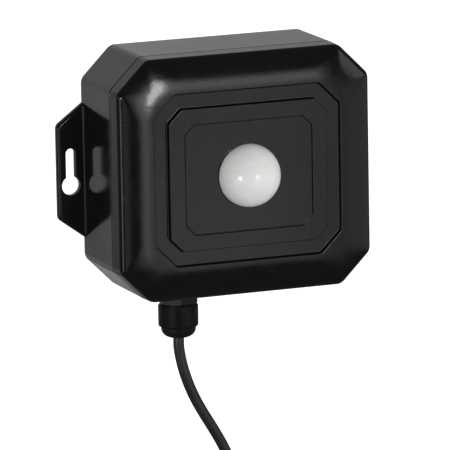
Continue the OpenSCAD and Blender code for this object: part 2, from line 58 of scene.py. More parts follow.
# Levels of the housing, read from its solids; a depth is a distance from the wall, along -Y
BASE_LOW, BASE_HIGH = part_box("rear_base")
COVER_LOW, COVER_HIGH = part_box("front_cover")
BODY_W = COVER_HIGH.x - COVER_LOW.x
BODY_H = COVER_HIGH.z - COVER_LOW.z
BASE_DEPTH = -BASE_LOW.y
PANEL_DEPTH = -COVER_LOW.y
EAR_REACH = BASE_HIGH.x - BODY_W / 2
SEAM_GAP = 0.4 * MM
COVER_REAR = BASE_DEPTH + SEAM_GAP

# Housing outline
BODY_CHAMFER = 13.6 * MM
BODY_ROUND = 5 * MM
# What a chamfer loses in length for each unit that its octagon is drawn in
CHAMFER_SHARE = 0.586
WALL = 2.5 * MM
FLOOR = 2.6 * MM

# Cover profile
SIDE_END = COVER_REAR + 7.1 * MM
EDGE_R = 3 * MM
EDGE_SWEEP = radians(69)
SIDE_DRAFT = 0.2 * MM
SHOULDER_ROUND = 13 * MM
SHOULDER_START = SIDE_END + EDGE_R * sin(EDGE_SWEEP)
FRAME_DEPTH = PANEL_DEPTH - 0.8 * MM
GROOVE_FLOOR = FRAME_DEPTH - 1.7 * MM
LABEL_FLOOR = PANEL_DEPTH - 0.4 * MM
POCKET_DEPTH = LABEL_FLOOR - 2.5 * MM
INNER_DEPTH = GROOVE_FLOOR - 2.5 * MM
FRAME_W, FRAME_H, FRAME_CHAMFER = 84 * MM, 73.2 * MM, 9.3 * MM
GROOVE_W = 6.3 * MM
FRAME_ROUND, PANEL_ROUND, POCKET_ROUND = 2 * MM, 1.6 * MM, 1.2 * MM
LABEL_W, LABEL_H, LABEL_CHAMFER = 57.8 * MM, 47.5 * MM, 4.4 * MM
LABEL_ROUND = 1.2 * MM
LENS_HOLE_R = 13.5 * MM

# Ears and keyholes
EAR_HALF = 29.1 * MM
EAR_Z = -0.75 * MM
EAR_SLOPE = 0.74
EAR_THICK = 3 * MM
KEY_X = BODY_W / 2 + 6.2 * MM
KEY_HEAD_R = 4.1 * MM
KEY_SLOT_R = 2.15 * MM
KEY_HEAD_Z = -6.8 * MM
KEY_TOP_Z = 9.2 * MM

# Case screws, driven from behind
TOWER_X = BODY_W / 2 - 10.5 * MM
TOWER_Z = BODY_H / 2 - 11 * MM
TOWER_R = 4.2 * MM
SCREW_SEAT = 24 * MM
SCREW_HEAD_R = 3.2 * MM
SCREW_LENGTH = 15 * MM

# Lens
DOME_R = 13.4 * MM
DOME_WALL = 1.6 * MM

# Gland and cord
NUT_LOW, NUT_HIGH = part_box("gland_nut")
GLAND_X = (NUT_LOW.x + NUT_HIGH.x) / 2
GLAND_Y = (NUT_LOW.y + NUT_HIGH.y) / 2
NUT_R = (NUT_HIGH.x - NUT_LOW.x) / 2
NUT_END = NUT_LOW.z
NUT_TOP = NUT_HIGH.z
NUT_STEP = NUT_END + 4.8 * MM
HEX_LOW = NUT_TOP + 0.2 * MM
HEX_HIGH = HEX_LOW + 5.5 * MM
HEX_FLATS = 15.2 * MM
HEX_TURN = 21.5
NUT_RIBS = 64
RIB_HEIGHT = 0.42 * MM
CORD_R = 2.35 * MM
CORD_SIDES = 20
GLAND_DEPTH = 17.3 * MM
THREAD_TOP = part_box("gland_body")[1].z
JACKET_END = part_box("cord_inner")[1].z

# Cord route in X and Z, as the solids have it
LEAD_ROUTE = [(-0.0214, -0.0733), (-0.0214, -0.078), (-0.0206, -0.083), (-0.0194, -0.088),
              (-0.0178, -0.093), (-0.0158, -0.098), (-0.0134, -0.103), (-0.0106, -0.108),
              (-0.0076, -0.113), (-0.0047, -0.118), (-0.002, -0.123), (0.0002, -0.128),
              (0.0019, -0.1335), (0.0031, -0.1395), (0.0038, -0.146), (0.004, -0.152),
              (0.004, -0.1573)]
TAIL_ROUTE = [(0.004, -0.1667), (0.004, -0.1715), (0.0043, -0.176), (0.0047, -0.1805),
              (0.005, -0.185), (0.005, -0.19)]
CORD_START = 3 * MM
COIL_R = 33 * MM
COIL_X = 4 * MM - COIL_R
COIL_Z = -162 * MM
COIL_TURNS = 12
COIL_LAYERS = 4
TURNS_PER_LAYER = COIL_TURNS / COIL_LAYERS
COIL_PITCH = 5.4 * MM
COIL_STEPS = 60
COIL_FRONT = GLAND_DEPTH + (COIL_LAYERS - 1) * COIL_PITCH
PLUG_X = 5 * MM
PLUG_Z = -190 * MM

# Coil straps: where they cross the coil (degrees), and their play round the cord
STRAP_ANGLES = (62, 242)
STRAP_W, STRAP_THICK = 5 * MM, 1 * MM
STRAP_GAP = 0.2 * MM

# Floor and room. The gloss values are the levels that reflections see.
FLOOR_Z = -0.262
FLOOR_HALF = 14
FLOOR_GREY = 0.78
FLOOR_LIFT = 0.75
ROOM_LIGHT = 0.62
ROOM_GLOSS = 0.12
# Soft patches of that room: turn, rise, half width, half height, soft margin (degrees) and strength
SOFT_PATCHES = {
    "pale backdrop behind": (180, 5, 20, 26, 11, 0.36),
    "pale floor in front": (58, -12, 24, 6, 12, 0.42),
    "pale floor before the panel": (20, -14, 1, 2.5, 9.5, 0.76),
    "glow under the right lamp": (5.3, -10, 1, 7, 12, 1.2),
    "glow right of the right lamp": (14, 2, 6, 1, 10, 1.75),
    "dim room on the left": (-25, -11, 4, 9, 6, 0.35),
    "pale light on the left": (-68, -8, 3, 10, 8, 1.9),
    "strip far on the left": (-100, 3, 2, 8, 3, 1.2),
    "white card on the right": (47, 9, 5, 5, 5, 1.1),
}

# Softboxes that face the housing: turn and rise (degrees), distance, width, height and power
LAMPS = {
    "right_lamp": (9.5, 3.5, 1.7, 0.19, 0.28, 1.8),
    "left_lamp": (-52.6, -2, 1.7, 0.12, 0.2, 5.5),
    "top_fill": (30, 55, 1.6, 0.9, 0.7, 0.4),
    "low_fill": (20, -8, 1.6, 0.9, 0.7, 6),
    "right_fill": (66, 6, 1.6, 0.9, 0.7, 7),
}
# Those of them that gloss does not reflect
FILLS = ("top_fill", "low_fill", "right_fill")

# Scales of the surface patterns, in waves per metre
WARP_SCALE, WAVE_SCALE, TONE_SCALE = 14.0, 55.0, 140.0
SCRATCH_SCALES = ((900, 24, 60), (40, 700, 24))
SCRATCH_BREAKS, DUST_SCALE, DUST_PATCHES = 90.0, 420.0, 60.0
# Scale of the pits, as a share of the grain's
PIT_SHARE = 0.35

# Moulded materials: dark and pale tone, roughness and its spread, scale of the grain, height of the
# waves and of the grain in units of the relief, the relief's depth, strength of scratches and of
# dust, and the height of a slow warp where the skin has one
CORE_SKIN = (0.38, 0.05, 1400.0, 0.3, 0.5, 0.00002, 0.0, 0.05)
MOULDED = {
    "gloss_housing": ((0.0012, 0.0012, 0.0013), (0.0022, 0.0022, 0.0024), 0.12, 0.03,
                      420.0, 0.9, 2.2, 0.000012, 0.25, 0.12, 130.0),
    "matte_nylon": ((0.004, 0.004, 0.0042), (0.0065, 0.0065, 0.0068), 0.4, 0.05,
                    1600.0, 0.4, 0.8, 0.000012, 0.2, 0.15),
    "seal_rubber": ((0.012, 0.012, 0.013), (0.02, 0.02, 0.021), 0.66, 0.07,
                    1900.0, 0.3, 0.9, 0.00003, 0.05, 0.3),
    "chip": ((0.018, 0.018, 0.02), (0.028, 0.028, 0.031), 0.55, 0.08,
             2600.0, 0.1, 1.0, 0.00003, 0.0, 0.1),
    "ceramic": ((0.58, 0.56, 0.5), (0.68, 0.66, 0.6), 0.45, 0.08,
                2400.0, 0.2, 0.8, 0.00002, 0.0, 0.1),
    "terminal": ((0.02, 0.2, 0.08), (0.03, 0.26, 0.1), 0.36, 0.05,
                 1500.0, 0.4, 0.5, 0.00002, 0.1, 0.2),
    "red_core": ((0.4, 0.012, 0.012), (0.5, 0.02, 0.02), *CORE_SKIN),
    "white_core": ((0.7, 0.7, 0.68), (0.8, 0.8, 0.78), *CORE_SKIN),
    "black_core": ((0.012, 0.012, 0.012), (0.02, 0.02, 0.02), *CORE_SKIN),
}
# How strongly the dull nylon reflects, where other plastics have 0.5
NYLON_SPECULAR = 0.25

# Metals: dark and bright tone, roughness, and the scale of the drawn or turned lines by axis
METALS = {
    "steel": ((0.42, 0.42, 0.43), (0.62, 0.62, 0.63), 0.3, (2600, 500, 2600)),
    "can": ((0.1, 0.12, 0.2), (0.16, 0.18, 0.28), 0.38, (900, 300, 900)),
    "contact": ((0.62, 0.5, 0.26), (0.8, 0.66, 0.36), 0.22, (300, 300, 5200)),
}

# Solids that stay visible, by the material that each gets
KEPT_SOLIDS = {
    "seal_rubber": ["cover_gasket", "lens_seal", "gland_washer", "gland_seal"],
    "matte_nylon": ["lens_retainer", "light_shield", "gland_lock_nut"],
    "steel": ["retainer_screws", "board_screws", "terminal_screws"],
    "ceramic": ["photodiode"],
    "board": ["circuit_board"],
    "chip": ["main_chip", "amplifier_chip", "resistors"],
    "can": ["capacitors"],
    "terminal": ["terminal_block"],
    "red_core": ["wire_red"],
    "white_core": ["wire_white"],
    "black_core": ["wire_black"],
}


# Outlines

def corner_arc(before, corner, after, radius, steps):
    """Points of the arc that rounds a corner between two neighbours."""
    u = (before - corner).normalized()
    v = (after - corner).normalized()
    half = acos(max(-1, min(1, u.dot(v)))) / 2
    centre = corner + (u + v).normalized() * radius / sin(half)
    first = corner + u * radius / tan(half) - centre
    last = corner + v * radius / tan(half) - centre
    start = atan2(first.y, first.x)
    turn = (atan2(last.y, last.x) - start + pi) % (2 * pi) - pi
    return [centre + radius * Vector((cos(start + turn * i / steps), sin(start + turn * i / steps)))
            for i in range(steps + 1)]


def rounded(corners, radius, steps=8, splits=6):
    """A closed outline with rounded corners and its straight runs split evenly."""
    corners = [Vector(c) for c in corners]
    count = len(corners)
    arcs = [corner_arc(corners[i - 1], corners[i], corners[(i + 1) % count], radius, steps)
            for i in range(count)]
    points = []
    for i, arc in enumerate(arcs):
        following = arcs[(i + 1) % count][0]
        points += arc
        points += [arc[-1].lerp(following, (k + 1) / (splits + 1)) for k in range(splits)]
    return points


def octagon(width, height, chamfer):
    """Corners of a rectangle with chamfered corners, anticlockwise from the viewer's side."""
    w, h, c = width / 2, height / 2, chamfer
    return [(w, c - h), (w, h - c), (w - c, h), (c - w, h),
            (-w, h - c), (-w, c - h), (c - w, -h), (w - c, -h)]


def eight_sided(width, height, chamfer, inset, radius):
    """A rounded octagon, drawn in from its full size by an inset."""
    return rounded(octagon(width - 2 * inset, height - 2 * inset, chamfer - inset * CHAMFER_SHARE), radius)


def body_outline(inset):
    return eight_sided(BODY_W, BODY_H, BODY_CHAMFER, inset, max(BODY_ROUND - inset, 1 * MM))


def frame_outline(radius):
    """The frame line's outline for any margin, with corners of one radius."""
    return lambda margin: eight_sided(FRAME_W, FRAME_H, FRAME_CHAMFER, margin, radius)


def label_outline(margin):
    return eight_sided(LABEL_W, LABEL_H, LABEL_CHAMFER, margin, LABEL_ROUND)


def hole_outline(radius):
    """A circle whose points match the label outline's, so that the two can be joined."""
    return [p.normalized() * radius for p in label_outline(0)]


def at_depth(outline, depth):
    return [Vector((p.x, -depth, p.y)) for p in outline]


def stacked(outline, spots):
    """Rings of an outline at pairs of inset and depth."""
    return [at_depth(outline(inset), depth) for inset, depth in spots]


def quarter(steps):
    """Sine and cosine pairs of a quarter turn."""
    return [(sin(pi / 2 * i / steps), cos(pi / 2 * i / steps)) for i in range(steps + 1)]


def soft_edge(radius, steps):
    """Pairs along a rounded edge: what is left to go in the first direction and gone in the second."""
    return [(radius * (1 - s), radius * (1 - c)) for s, c in quarter(steps)]


# Meshes

def linked(name, data):
    """A new object in the scene."""
    item = bpy.data.objects.new(name, data)
    bpy.context.scene.collection.objects.link(item)
    return item


def discard(piece):
    """Removes a piece with its mesh."""
    mesh = piece.data
    bpy.data.objects.remove(piece)
    bpy.data.meshes.remove(mesh)


def mesh_object(name, vertices, faces):
    mesh = bpy.data.meshes.new(name)
    mesh.from_pydata([tuple(v) for v in vertices], [], faces)
    mesh.update()
    piece = linked(name, mesh)
    face_outwards(piece)
    mesh.shade_smooth()
    return piece


def face_outwards(piece, weld=True):
    """Turns the faces outwards, and first joins the points that coincide if the piece is to be welded."""
    work = bmesh.new()
    work.from_mesh(piece.data)
    if weld:
        bmesh.ops.remove_doubles(work, verts=work.verts, dist=TINY)
    bmesh.ops.recalc_face_normals(work, faces=work.faces)
    work.to_mesh(piece.data)
    work.free()


def loft(name, rings, closed=False):
    """A skin over rings of equal point counts: joined end to end, or capped at both ends."""
    count = len(rings[0])
    vertices = [p for ring in rings for p in ring]
    spans = len(rings) if closed else len(rings) - 1
    faces = []
    for i in range(spans):
        for j in range(count):
            a, b = i * count + j, i * count + (j + 1) % count
            k = (i + 1) % len(rings) * count
            faces.append((a, b, k + (j + 1) % count, k + j))
    if not closed:
        faces += [tuple(range(count)), tuple(range((len(rings) - 1) * count, len(rings) * count))]
    return mesh_object(name, vertices, faces)


def lathe(name, profile, place, sides):
    """A closed profile of radius and travel, turned round an axis; place gives each point's spot."""
    vertices, rings = [], []
    for radius, travel in profile:
        if radius < TINY:
            rings.append([len(vertices)] * sides)
            vertices.append(place(0, 0, travel))
        else:
            rings.append(list(range(len(vertices), len(vertices) + sides)))
            vertices += [place(radius, 2 * pi * k / sides, travel) for k in range(sides)]
    faces = []
    for i, ring in enumerate(rings):
        after = rings[(i + 1) % len(rings)]
        for k in range(sides):
            m = (k + 1) % sides
            corners = list(dict.fromkeys([ring[k], ring[m], after[m], after[k]]))
            if len(corners) > 2:
                faces.append(corners)
    return mesh_object(name, vertices, faces)


def rod(name, radius, low, high, place, sides):
    """A plain cylinder between two places along its axis."""
    return lathe(name, [(0, low), (radius, low), (radius, high), (0, high)], place, sides)


def from_wall(x, z):
    """Places a turned point round an axis square to the wall."""
    return lambda radius, angle, depth: Vector((x + radius * cos(angle), -depth, z + radius * sin(angle)))


def upright(x, y, start=0.0, way=1):
    """Places a turned point round an upright axis, above a start or below it."""
    return lambda radius, angle, travel: Vector((x + radius * cos(angle), y + radius * sin(angle),
                                                 start + way * travel))


ON_GLAND = upright(GLAND_X, GLAND_Y)
ON_PLUG = upright(PLUG_X, -COIL_FRONT, PLUG_Z, -1)


def evaluated(piece):
    """Turns a piece and its modifiers into a plain mesh."""
    graph = bpy.context.evaluated_depsgraph_get()
    graph.update()
    mesh = bpy.data.meshes.new_from_object(piece.evaluated_get(graph))
    piece.modifiers.clear()
    old = piece.data
    piece.data = mesh
    bpy.data.meshes.remove(old)
    mesh.name = piece.name
    return piece


def combine(piece, tools, operation):
    """Joins solids to a piece or cuts them out of it, and removes them."""
    for tool in tools:
        step = piece.modifiers.new(operation.lower(), "BOOLEAN")
        step.operation = operation
        step.solver = "EXACT"
        step.object = tool
        evaluated(piece)
        discard(tool)
    return piece


def settle_normals(piece, sharp_above):
    """Marks the sharp edges and lets large flat faces keep flat reflections."""
    piece.data.shade_smooth()
    piece.data.set_sharp_from_angle(angle=radians(sharp_above))
    step = piece.modifiers.new("weights", "WEIGHTED_NORMAL")
    step.keep_sharp = True
    step.weight = 100
    return evaluated(piece)


def dress(piece, slot):
    piece.data.materials.clear()
    piece.data.materials.append(MATERIALS[slot])


def finished(piece, slot, nodes):
    """Gives a piece its material and hands it to the frame in place of its solids."""
    dress(piece, slot)
    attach(piece, "root")
    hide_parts(*nodes)
    return piece


# Camera, floor and lamps

def direction(turn, rise):
    """The unit vector at a turn from straight out of the wall towards +X, and a rise above level."""
    a, e = radians(turn), radians(rise)
    return Vector((sin(a) * cos(e), -cos(a) * cos(e), sin(e)))


def add_camera():
    """The photograph's camera, held by the directions behind, right of and above it."""
    turn, roll = radians(VIEW_TURN), radians(VIEW_ROLL)
    back = direction(VIEW_TURN, VIEW_RISE)
    right = Vector((cos(turn), sin(turn), 0))
    up = back.cross(right)
    rolled_right = right * cos(roll) + up * sin(roll)
    rolled_up = up * cos(roll) - right * sin(roll)
    data = bpy.data.cameras.new("camera")
    data.lens, data.sensor_width = VIEW_LENS, VIEW_FILM
    data.clip_start, data.clip_end = VIEW_NEAR, VIEW_FAR
    camera = linked("camera", data)
    axes = Matrix((rolled_right, rolled_up, back)).transposed()
    camera.matrix_world = Matrix.Translation(VIEW_TARGET + back * VIEW_DISTANCE) @ axes.to_4x4()
    bpy.context.scene.camera = camera


def add_lamps():
    """The softboxes: the camera sees none of them, and gloss only those that are no fills."""
    for name, (turn, rise, distance, width, height, power) in LAMPS.items():
        data = bpy.data.lights.new(name, "AREA")
        data.shape = "RECTANGLE"
        data.size, data.size_y, data.energy = width, height, power
        lamp = linked(name, data)
        towards = direction(turn, rise)
        lamp.location = Vector((0, -BASE_DEPTH, 0)) + towards * distance
        lamp.rotation_euler = towards.to_track_quat("Z", "Y").to_euler()
        lamp.visible_camera = False
        lamp.visible_glossy = name not in FILLS


def add_floor():
    """A wide pale floor below the plug. It shows as white and keeps the object's shadow."""
    corners = [(x * FLOOR_HALF, y * FLOOR_HALF, FLOOR_Z) for x, y in ((-1, -1), (1, -1), (1, 1), (-1, 1))]
    mesh = bpy.data.meshes.new("floor")
    mesh.from_pydata(corners, [], [(0, 1, 2, 3)])
    floor = linked("floor", mesh)
    mesh.materials.append(floor_material())


# Node trees

class Nodes:
    """Short calls for building a node tree."""

    def __init__(self, tree):
        self.tree = tree

    def add(self, kind, inputs=None, **settings):
        node = self.tree.nodes.new(kind)
        for key, value in settings.items():
            setattr(node, key, value)
        for key, value in (inputs or {}).items():
            self.put(value, node.inputs[key])
        return node

    def put(self, value, socket):
        """Links an output to a socket, or sets the socket's value."""
        if isinstance(value, bpy.types.NodeSocket):
            self.tree.links.new(value, socket)
        else:
            socket.default_value = value

    def math(self, operation, first, second=0.0):
        return self.add("ShaderNodeMath", {0: first, 1: second}, operation=operation).outputs[0]

    def times(self, first, second):
        return self.math("MULTIPLY", first, second)

    def plus(self, first, second):
        return self.math("ADD", first, second)

    def ramp(self, value, low, high, start=0.0, end=1.0):
        """Eases a value from start to end as it goes from low to high."""
        levels = {"From Min": low, "From Max": high, "To Min": start, "To Max": end}
        node = self.add("ShaderNodeMapRange", {"Value": value, **levels}, interpolation_type="SMOOTHSTEP")
        return node.outputs["Result"]

    def noise(self, where, scale, detail=2.0, rough=0.5):
        node = self.add("ShaderNodeTexNoise", {"Vector": where, "Scale": scale, "Detail": detail,
                                               "Roughness": rough})
        return node.outputs["Fac"]

    def mix(self, share, first, second):
        node = self.add("ShaderNodeMix", {"Factor": share}, data_type="RGBA")
        colours = [s for s in node.inputs if s.type == "RGBA"]
        self.put(first, colours[0])
        self.put(second, colours[1])
        return [s for s in node.outputs if s.type == "RGBA"][0]

    def tones(self, pattern, dark, pale, low=0.3, high=0.7):
        """A colour between two tones, as a pattern goes from low to high."""
        return self.mix(self.ramp(pattern, low, high), (*dark, 1), (*pale, 1))

    def stretched(self, where, scale):
        """Scales a pattern by a different amount along each axis."""
        return self.add("ShaderNodeMapping", {"Vector": where, "Scale": scale}).outputs["Vector"]


def new_group(name, inputs, outputs):
    """A shader node group with named inputs, each with its first value, and named outputs."""
    tree = bpy.data.node_groups.new(name, "ShaderNodeTree")
    for label, value in inputs.items():
        kind = "NodeSocketVector" if label == "Where" else "NodeSocketFloat"
        socket = tree.interface.new_socket(label, in_out="INPUT", socket_type=kind)
        if value is not None:
            socket.default_value = value
    for label in outputs:
        tree.interface.new_socket(label, in_out="OUTPUT", socket_type="NodeSocketFloat")
    n = Nodes(tree)
    return tree, n, n.add("NodeGroupInput").outputs, n.add("NodeGroupOutput").inputs


def use_group(n, tree, **inputs):
    node = n.add("ShaderNodeGroup", node_tree=tree)
    for key, value in inputs.items():
        n.put(value, node.inputs[key.replace("_", " ")])
    return node.outputs


def sight_rays(n):
    """Two values: 1 for the camera's rays, and 1 for rays off gloss or through glass."""
    path = n.add("ShaderNodeLightPath").outputs
    return path["Is Camera Ray"], n.math("MAXIMUM", path["Is Glossy Ray"], path["Is Transmission Ray"])


def mirrored_room_group():
    """The level that gloss sees in a direction: a dim room with soft patches."""
    tree, n, given, result = new_group("mirrored_room", {"Where": None}, ["Strength"])
    x, y, z = n.add("ShaderNodeSeparateXYZ", {0: given["Where"]}).outputs
    turn = n.math("ARCTAN2", x, n.times(y, -1.0))
    rise = n.math("ARCSINE", z)
    total = ROOM_GLOSS
    for patch_turn, patch_rise, half_turn, half_rise, soft, strength in SOFT_PATCHES.values():
        share = strength
        for angle, middle, half in ((turn, patch_turn, half_turn), (rise, patch_rise, half_rise)):
            off = n.math("SUBTRACT", angle, radians(middle))
            off = n.add("ShaderNodeMath", {0: off, 1: pi, 2: -pi}, operation="WRAP").outputs[0]
            inside = n.ramp(n.math("ABSOLUTE", off), radians(half + soft), radians(half))
            share = n.times(inside, share)
        total = n.plus(share, total)
    n.put(total, result["Strength"])
    return tree


MIRRORED_ROOM = mirrored_room_group()


def floor_material():
    material = bpy.data.materials.new("floor_paper")
    material.use_nodes = True
    n = Nodes(material.node_tree)
    material.node_tree.nodes.clear()
    where = n.add("ShaderNodeTexCoord").outputs["Object"]
    towards = n.add("ShaderNodeVectorMath", {0: where}, operation="NORMALIZE").outputs["Vector"]
    camera, gloss = sight_rays(n)
    paper = n.add("ShaderNodeBsdfDiffuse", {"Color": (FLOOR_GREY, FLOOR_GREY, FLOOR_GREY, 1)}).outputs[0]
    glow = n.add("ShaderNodeEmission", {"Strength": n.times(camera, FLOOR_LIFT)}).outputs[0]
    seen = n.add("ShaderNodeAddShader", {0: paper, 1: glow}).outputs[0]
    mirrored = use_group(n, MIRRORED_ROOM, Where=towards)["Strength"]
    mirrored = n.add("ShaderNodeEmission", {"Strength": mirrored}).outputs[0]
    total = n.add("ShaderNodeMixShader", {0: gloss, 1: seen, 2: mirrored}).outputs[0]
    n.add("ShaderNodeOutputMaterial", {"Surface": total})
    return material


def add_world():
    """Soft surrounding light, white to the camera and a dim room to gloss."""
    world = bpy.data.worlds.new("studio")
    bpy.context.scene.world = world
    world.use_nodes = True
    n = Nodes(world.node_tree)
    world.node_tree.nodes.clear()
    where = n.add("ShaderNodeTexCoord").outputs["Generated"]
    camera, gloss = sight_rays(n)
    mirrored = use_group(n, MIRRORED_ROOM, Where=where)["Strength"]
    strength = n.plus(n.times(gloss, n.math("SUBTRACT", mirrored, ROOM_LIGHT)), ROOM_LIGHT)
    strength = n.math("MAXIMUM", strength, camera)
    backdrop = n.add("ShaderNodeBackground", {"Color": (1, 1, 1, 1), "Strength": strength}).outputs[0]
    n.add("ShaderNodeOutputWorld", {"Surface": backdrop})


# Materials

def moulded_skin_group():
    """Relief of moulded plastic: a slow warp, waves, a fine grain and a few small pits."""
    tree, n, given, result = new_group(
        "moulded_skin", {"Where": None, "Grain Scale": 900.0, "Wave": 0.5, "Grain": 0.5, "Pits": 0.3,
                         "Warp": 0.0}, ["Height", "Variation"])
    where, scale = given["Where"], given["Grain Scale"]
    cells = n.add("ShaderNodeTexVoronoi", {"Vector": where, "Scale": n.times(scale, PIT_SHARE)})
    pits = cells.outputs["Distance"]
    height = n.times(n.noise(where, WAVE_SCALE, 1.0), given["Wave"])
    for pattern, share in ((n.noise(where, scale, 3.0, 0.6), "Grain"), (n.ramp(pits, 0.0, 0.25), "Pits"),
                           (n.noise(where, WARP_SCALE, 0.0), "Warp")):
        height = n.plus(height, n.times(pattern, given[share]))
    n.put(height, result["Height"])
    n.put(n.noise(where, TONE_SCALE, 4.0, 0.65), result["Variation"])
    return tree


def handling_group():
    """Marks of handling: hair-fine scratches and specks of dust."""
    tree, n, given, result = new_group("handling", {"Where": None, "Scratches": 0.2, "Dust": 0.2},
                                       ["Scratches", "Dust"])
    where = given["Where"]
    first, second = (n.ramp(n.noise(n.stretched(where, scale), 1.0, 2.0), 0.69, 0.74)
                     for scale in SCRATCH_SCALES)
    broken = n.ramp(n.noise(where, SCRATCH_BREAKS, 1.0), 0.5, 0.62)
    specks = n.add("ShaderNodeTexVoronoi", {"Vector": where, "Scale": DUST_SCALE}).outputs["Distance"]
    patches = n.ramp(n.noise(where, DUST_PATCHES, 3.0), 0.52, 0.7)
    for mark, pattern in (("Scratches", n.times(n.math("MAXIMUM", first, second), broken)),
                          ("Dust", n.times(n.ramp(specks, 0.16, 0.06), patches))):
        n.put(n.times(pattern, given[mark]), result[mark])
    return tree


MOULDED_SKIN = moulded_skin_group()
HANDLING = handling_group()


def plain_shader(name):
    """A new material's node helper, its coordinates, and the call that completes its shader."""
    material = bpy.data.materials.new(name)
    material.use_nodes = True
    n = Nodes(material.node_tree)
    shader = material.node_tree.nodes["Principled BSDF"]

    def complete(colour, rough, relief, depth, more=None):
        """Sets colour, roughness, a relief of the given depth in metres, and any further inputs."""
        bump = n.add("ShaderNodeBump", {"Height": relief, "Distance": depth, "Strength": 1.0})
        inputs = {"Base Color": colour, "Roughness": rough, "Normal": bump.outputs["Normal"], **(more or {})}
        for label, value in inputs.items():
            n.put(value, shader.inputs[label])
        return material
    return n, n.add("ShaderNodeTexCoord").outputs["Object"], complete


def moulded_plastic(name, dark, pale, rough, spread, grain_scale, wave, grain, depth, scratches, dust,
                    warp=0.0):
    """Moulded plastic: two close tones, uneven gloss, a fine relief and light marks of handling."""
    n, where, complete = plain_shader(name)
    skin = use_group(n, MOULDED_SKIN, Where=where, Grain_Scale=grain_scale, Wave=wave, Grain=grain, Warp=warp)
    marks = use_group(n, HANDLING, Where=where, Scratches=scratches, Dust=dust)
    dusty = tuple(min(1, 3 * c + 0.05) for c in pale)
    colour = n.mix(marks["Dust"], n.tones(skin["Variation"], dark, pale, 0.35), (*dusty, 1))
    gloss = n.ramp(skin["Variation"], 0.3, 0.7, rough - spread, rough + spread)
    gloss = n.plus(gloss, n.times(n.math("MAXIMUM", marks["Dust"], marks["Scratches"]), 0.3))
    relief = n.math("SUBTRACT", skin["Height"], n.times(marks["Scratches"], 0.4))
    more = {"Specular IOR Level": NYLON_SPECULAR} if name == "matte_nylon" else None
    return complete(colour, gloss, relief, depth, more)


def lens_material():
    """Milky diffusing plastic, glossy outside and softly lit through."""
    n, where, complete = plain_shader("lens_white")
    skin = use_group(n, MOULDED_SKIN, Where=where, Grain_Scale=700.0, Wave=0.6, Grain=0.15)
    colour = n.tones(skin["Variation"], (0.7, 0.7, 0.685), (0.76, 0.76, 0.745))
    gloss = n.ramp(skin["Variation"], 0.3, 0.7, 0.18, 0.24)
    return complete(colour, gloss, skin["Height"], 0.000008, {
        "IOR": 1.62, "Subsurface Weight": 0.25, "Subsurface Radius": (0.9, 0.8, 0.7),
        "Subsurface Scale": 0.0012})


def board_material():
    """Green solder mask over a grid of copper tracks."""
    n, where, complete = plain_shader("board")
    black, white = (0, 0, 0, 1), (1, 1, 1, 1)
    tracks = n.add("ShaderNodeTexBrick", {"Vector": n.stretched(where, (1, 0, 1)), "Scale": 260.0,
                                          "Mortar Size": 0.04, "Mortar Smooth": 0.3, "Color1": black,
                                          "Color2": black, "Mortar": white}).outputs["Fac"]
    copper = n.times(tracks, n.ramp(n.noise(where, 160.0), 0.45, 0.6))
    skin = use_group(n, MOULDED_SKIN, Where=where, Grain_Scale=1500.0)
    mask = n.tones(skin["Variation"], (0.008, 0.11, 0.045), (0.012, 0.15, 0.06))
    return complete(n.mix(copper, mask, (0.05, 0.3, 0.1, 1)), n.ramp(skin["Variation"], 0.3, 0.7, 0.28, 0.4),
                    n.plus(copper, n.times(skin["Height"], 0.2)), 0.00004)


def brushed_metal(name, dark, bright, rough, stretch):
    """Plated metal with fine turning or drawing lines."""
    n, where, complete = plain_shader(name)
    lines = n.noise(n.stretched(where, stretch), 1.0, 3.0, 0.7)
    marks = use_group(n, HANDLING, Where=where, Scratches=0.4)
    gloss = n.plus(n.ramp(lines, 0.3, 0.7, rough - 0.06, rough + 0.08), n.times(marks["Scratches"], 0.2))
    return complete(n.tones(lines, dark, bright), gloss, lines, 0.000006, {"Metallic": 1.0})


def run_shader(name):
    """As plain_shader, with the map along a cord or a strap for coordinates."""
    n, _, complete = plain_shader(name)
    return n, n.add("ShaderNodeUVMap", uv_map="run").outputs["UV"], complete


def jacket_material():
    """Cord jacket: a satin skin with fine lines drawn along it and a faint mottle."""
    n, along, complete = run_shader("jacket")
    drawn = n.noise(n.stretched(along, (3100, 60, 1)), 1.0, 3.0, 0.6)
    mottle = n.noise(n.stretched(along, (200, 60, 1)), 1.0, 4.0, 0.6)
    skin = n.noise(n.stretched(along, (2000, 900, 1)), 1.0, 2.0)
    gloss = n.ramp(n.plus(n.times(mottle, 0.6), n.times(drawn, 0.4)), 0.35, 0.65, 0.3, 0.44)
    return complete(n.tones(mottle, (0.012, 0.012, 0.0125), (0.02, 0.02, 0.021)), gloss,
                    n.plus(drawn, n.times(skin, 0.5)), 0.00003)


def strap_material():
    """Woven hook-and-loop strap: ribs across it and a fuzzy nap."""
    n, along, complete = run_shader("strap")
    ribs, warp = (
        n.add("ShaderNodeTexWave", {"Vector": n.stretched(along, scale), "Scale": 1.0, "Distortion": 0.6,
                                    "Detail": detail}, wave_type="BANDS", bands_direction=way).outputs["Fac"]
        for scale, detail, way in (((1, 800, 1), 1.0, "Y"), ((800, 1, 1), 2.0, "X")))
    nap = n.noise(n.stretched(along, (5000, 5000, 1)), 1.0, 3.0, 0.7)
    shade = n.plus(n.times(n.times(ribs, warp), 0.6), n.times(nap, 0.4))
    colour = n.mix(shade, (0.006, 0.006, 0.007, 1), (0.045, 0.045, 0.05, 1))
    return complete(colour, n.ramp(nap, 0.3, 0.7, 0.75, 0.95), shade, 0.00015, {"Sheen Weight": 0.3})


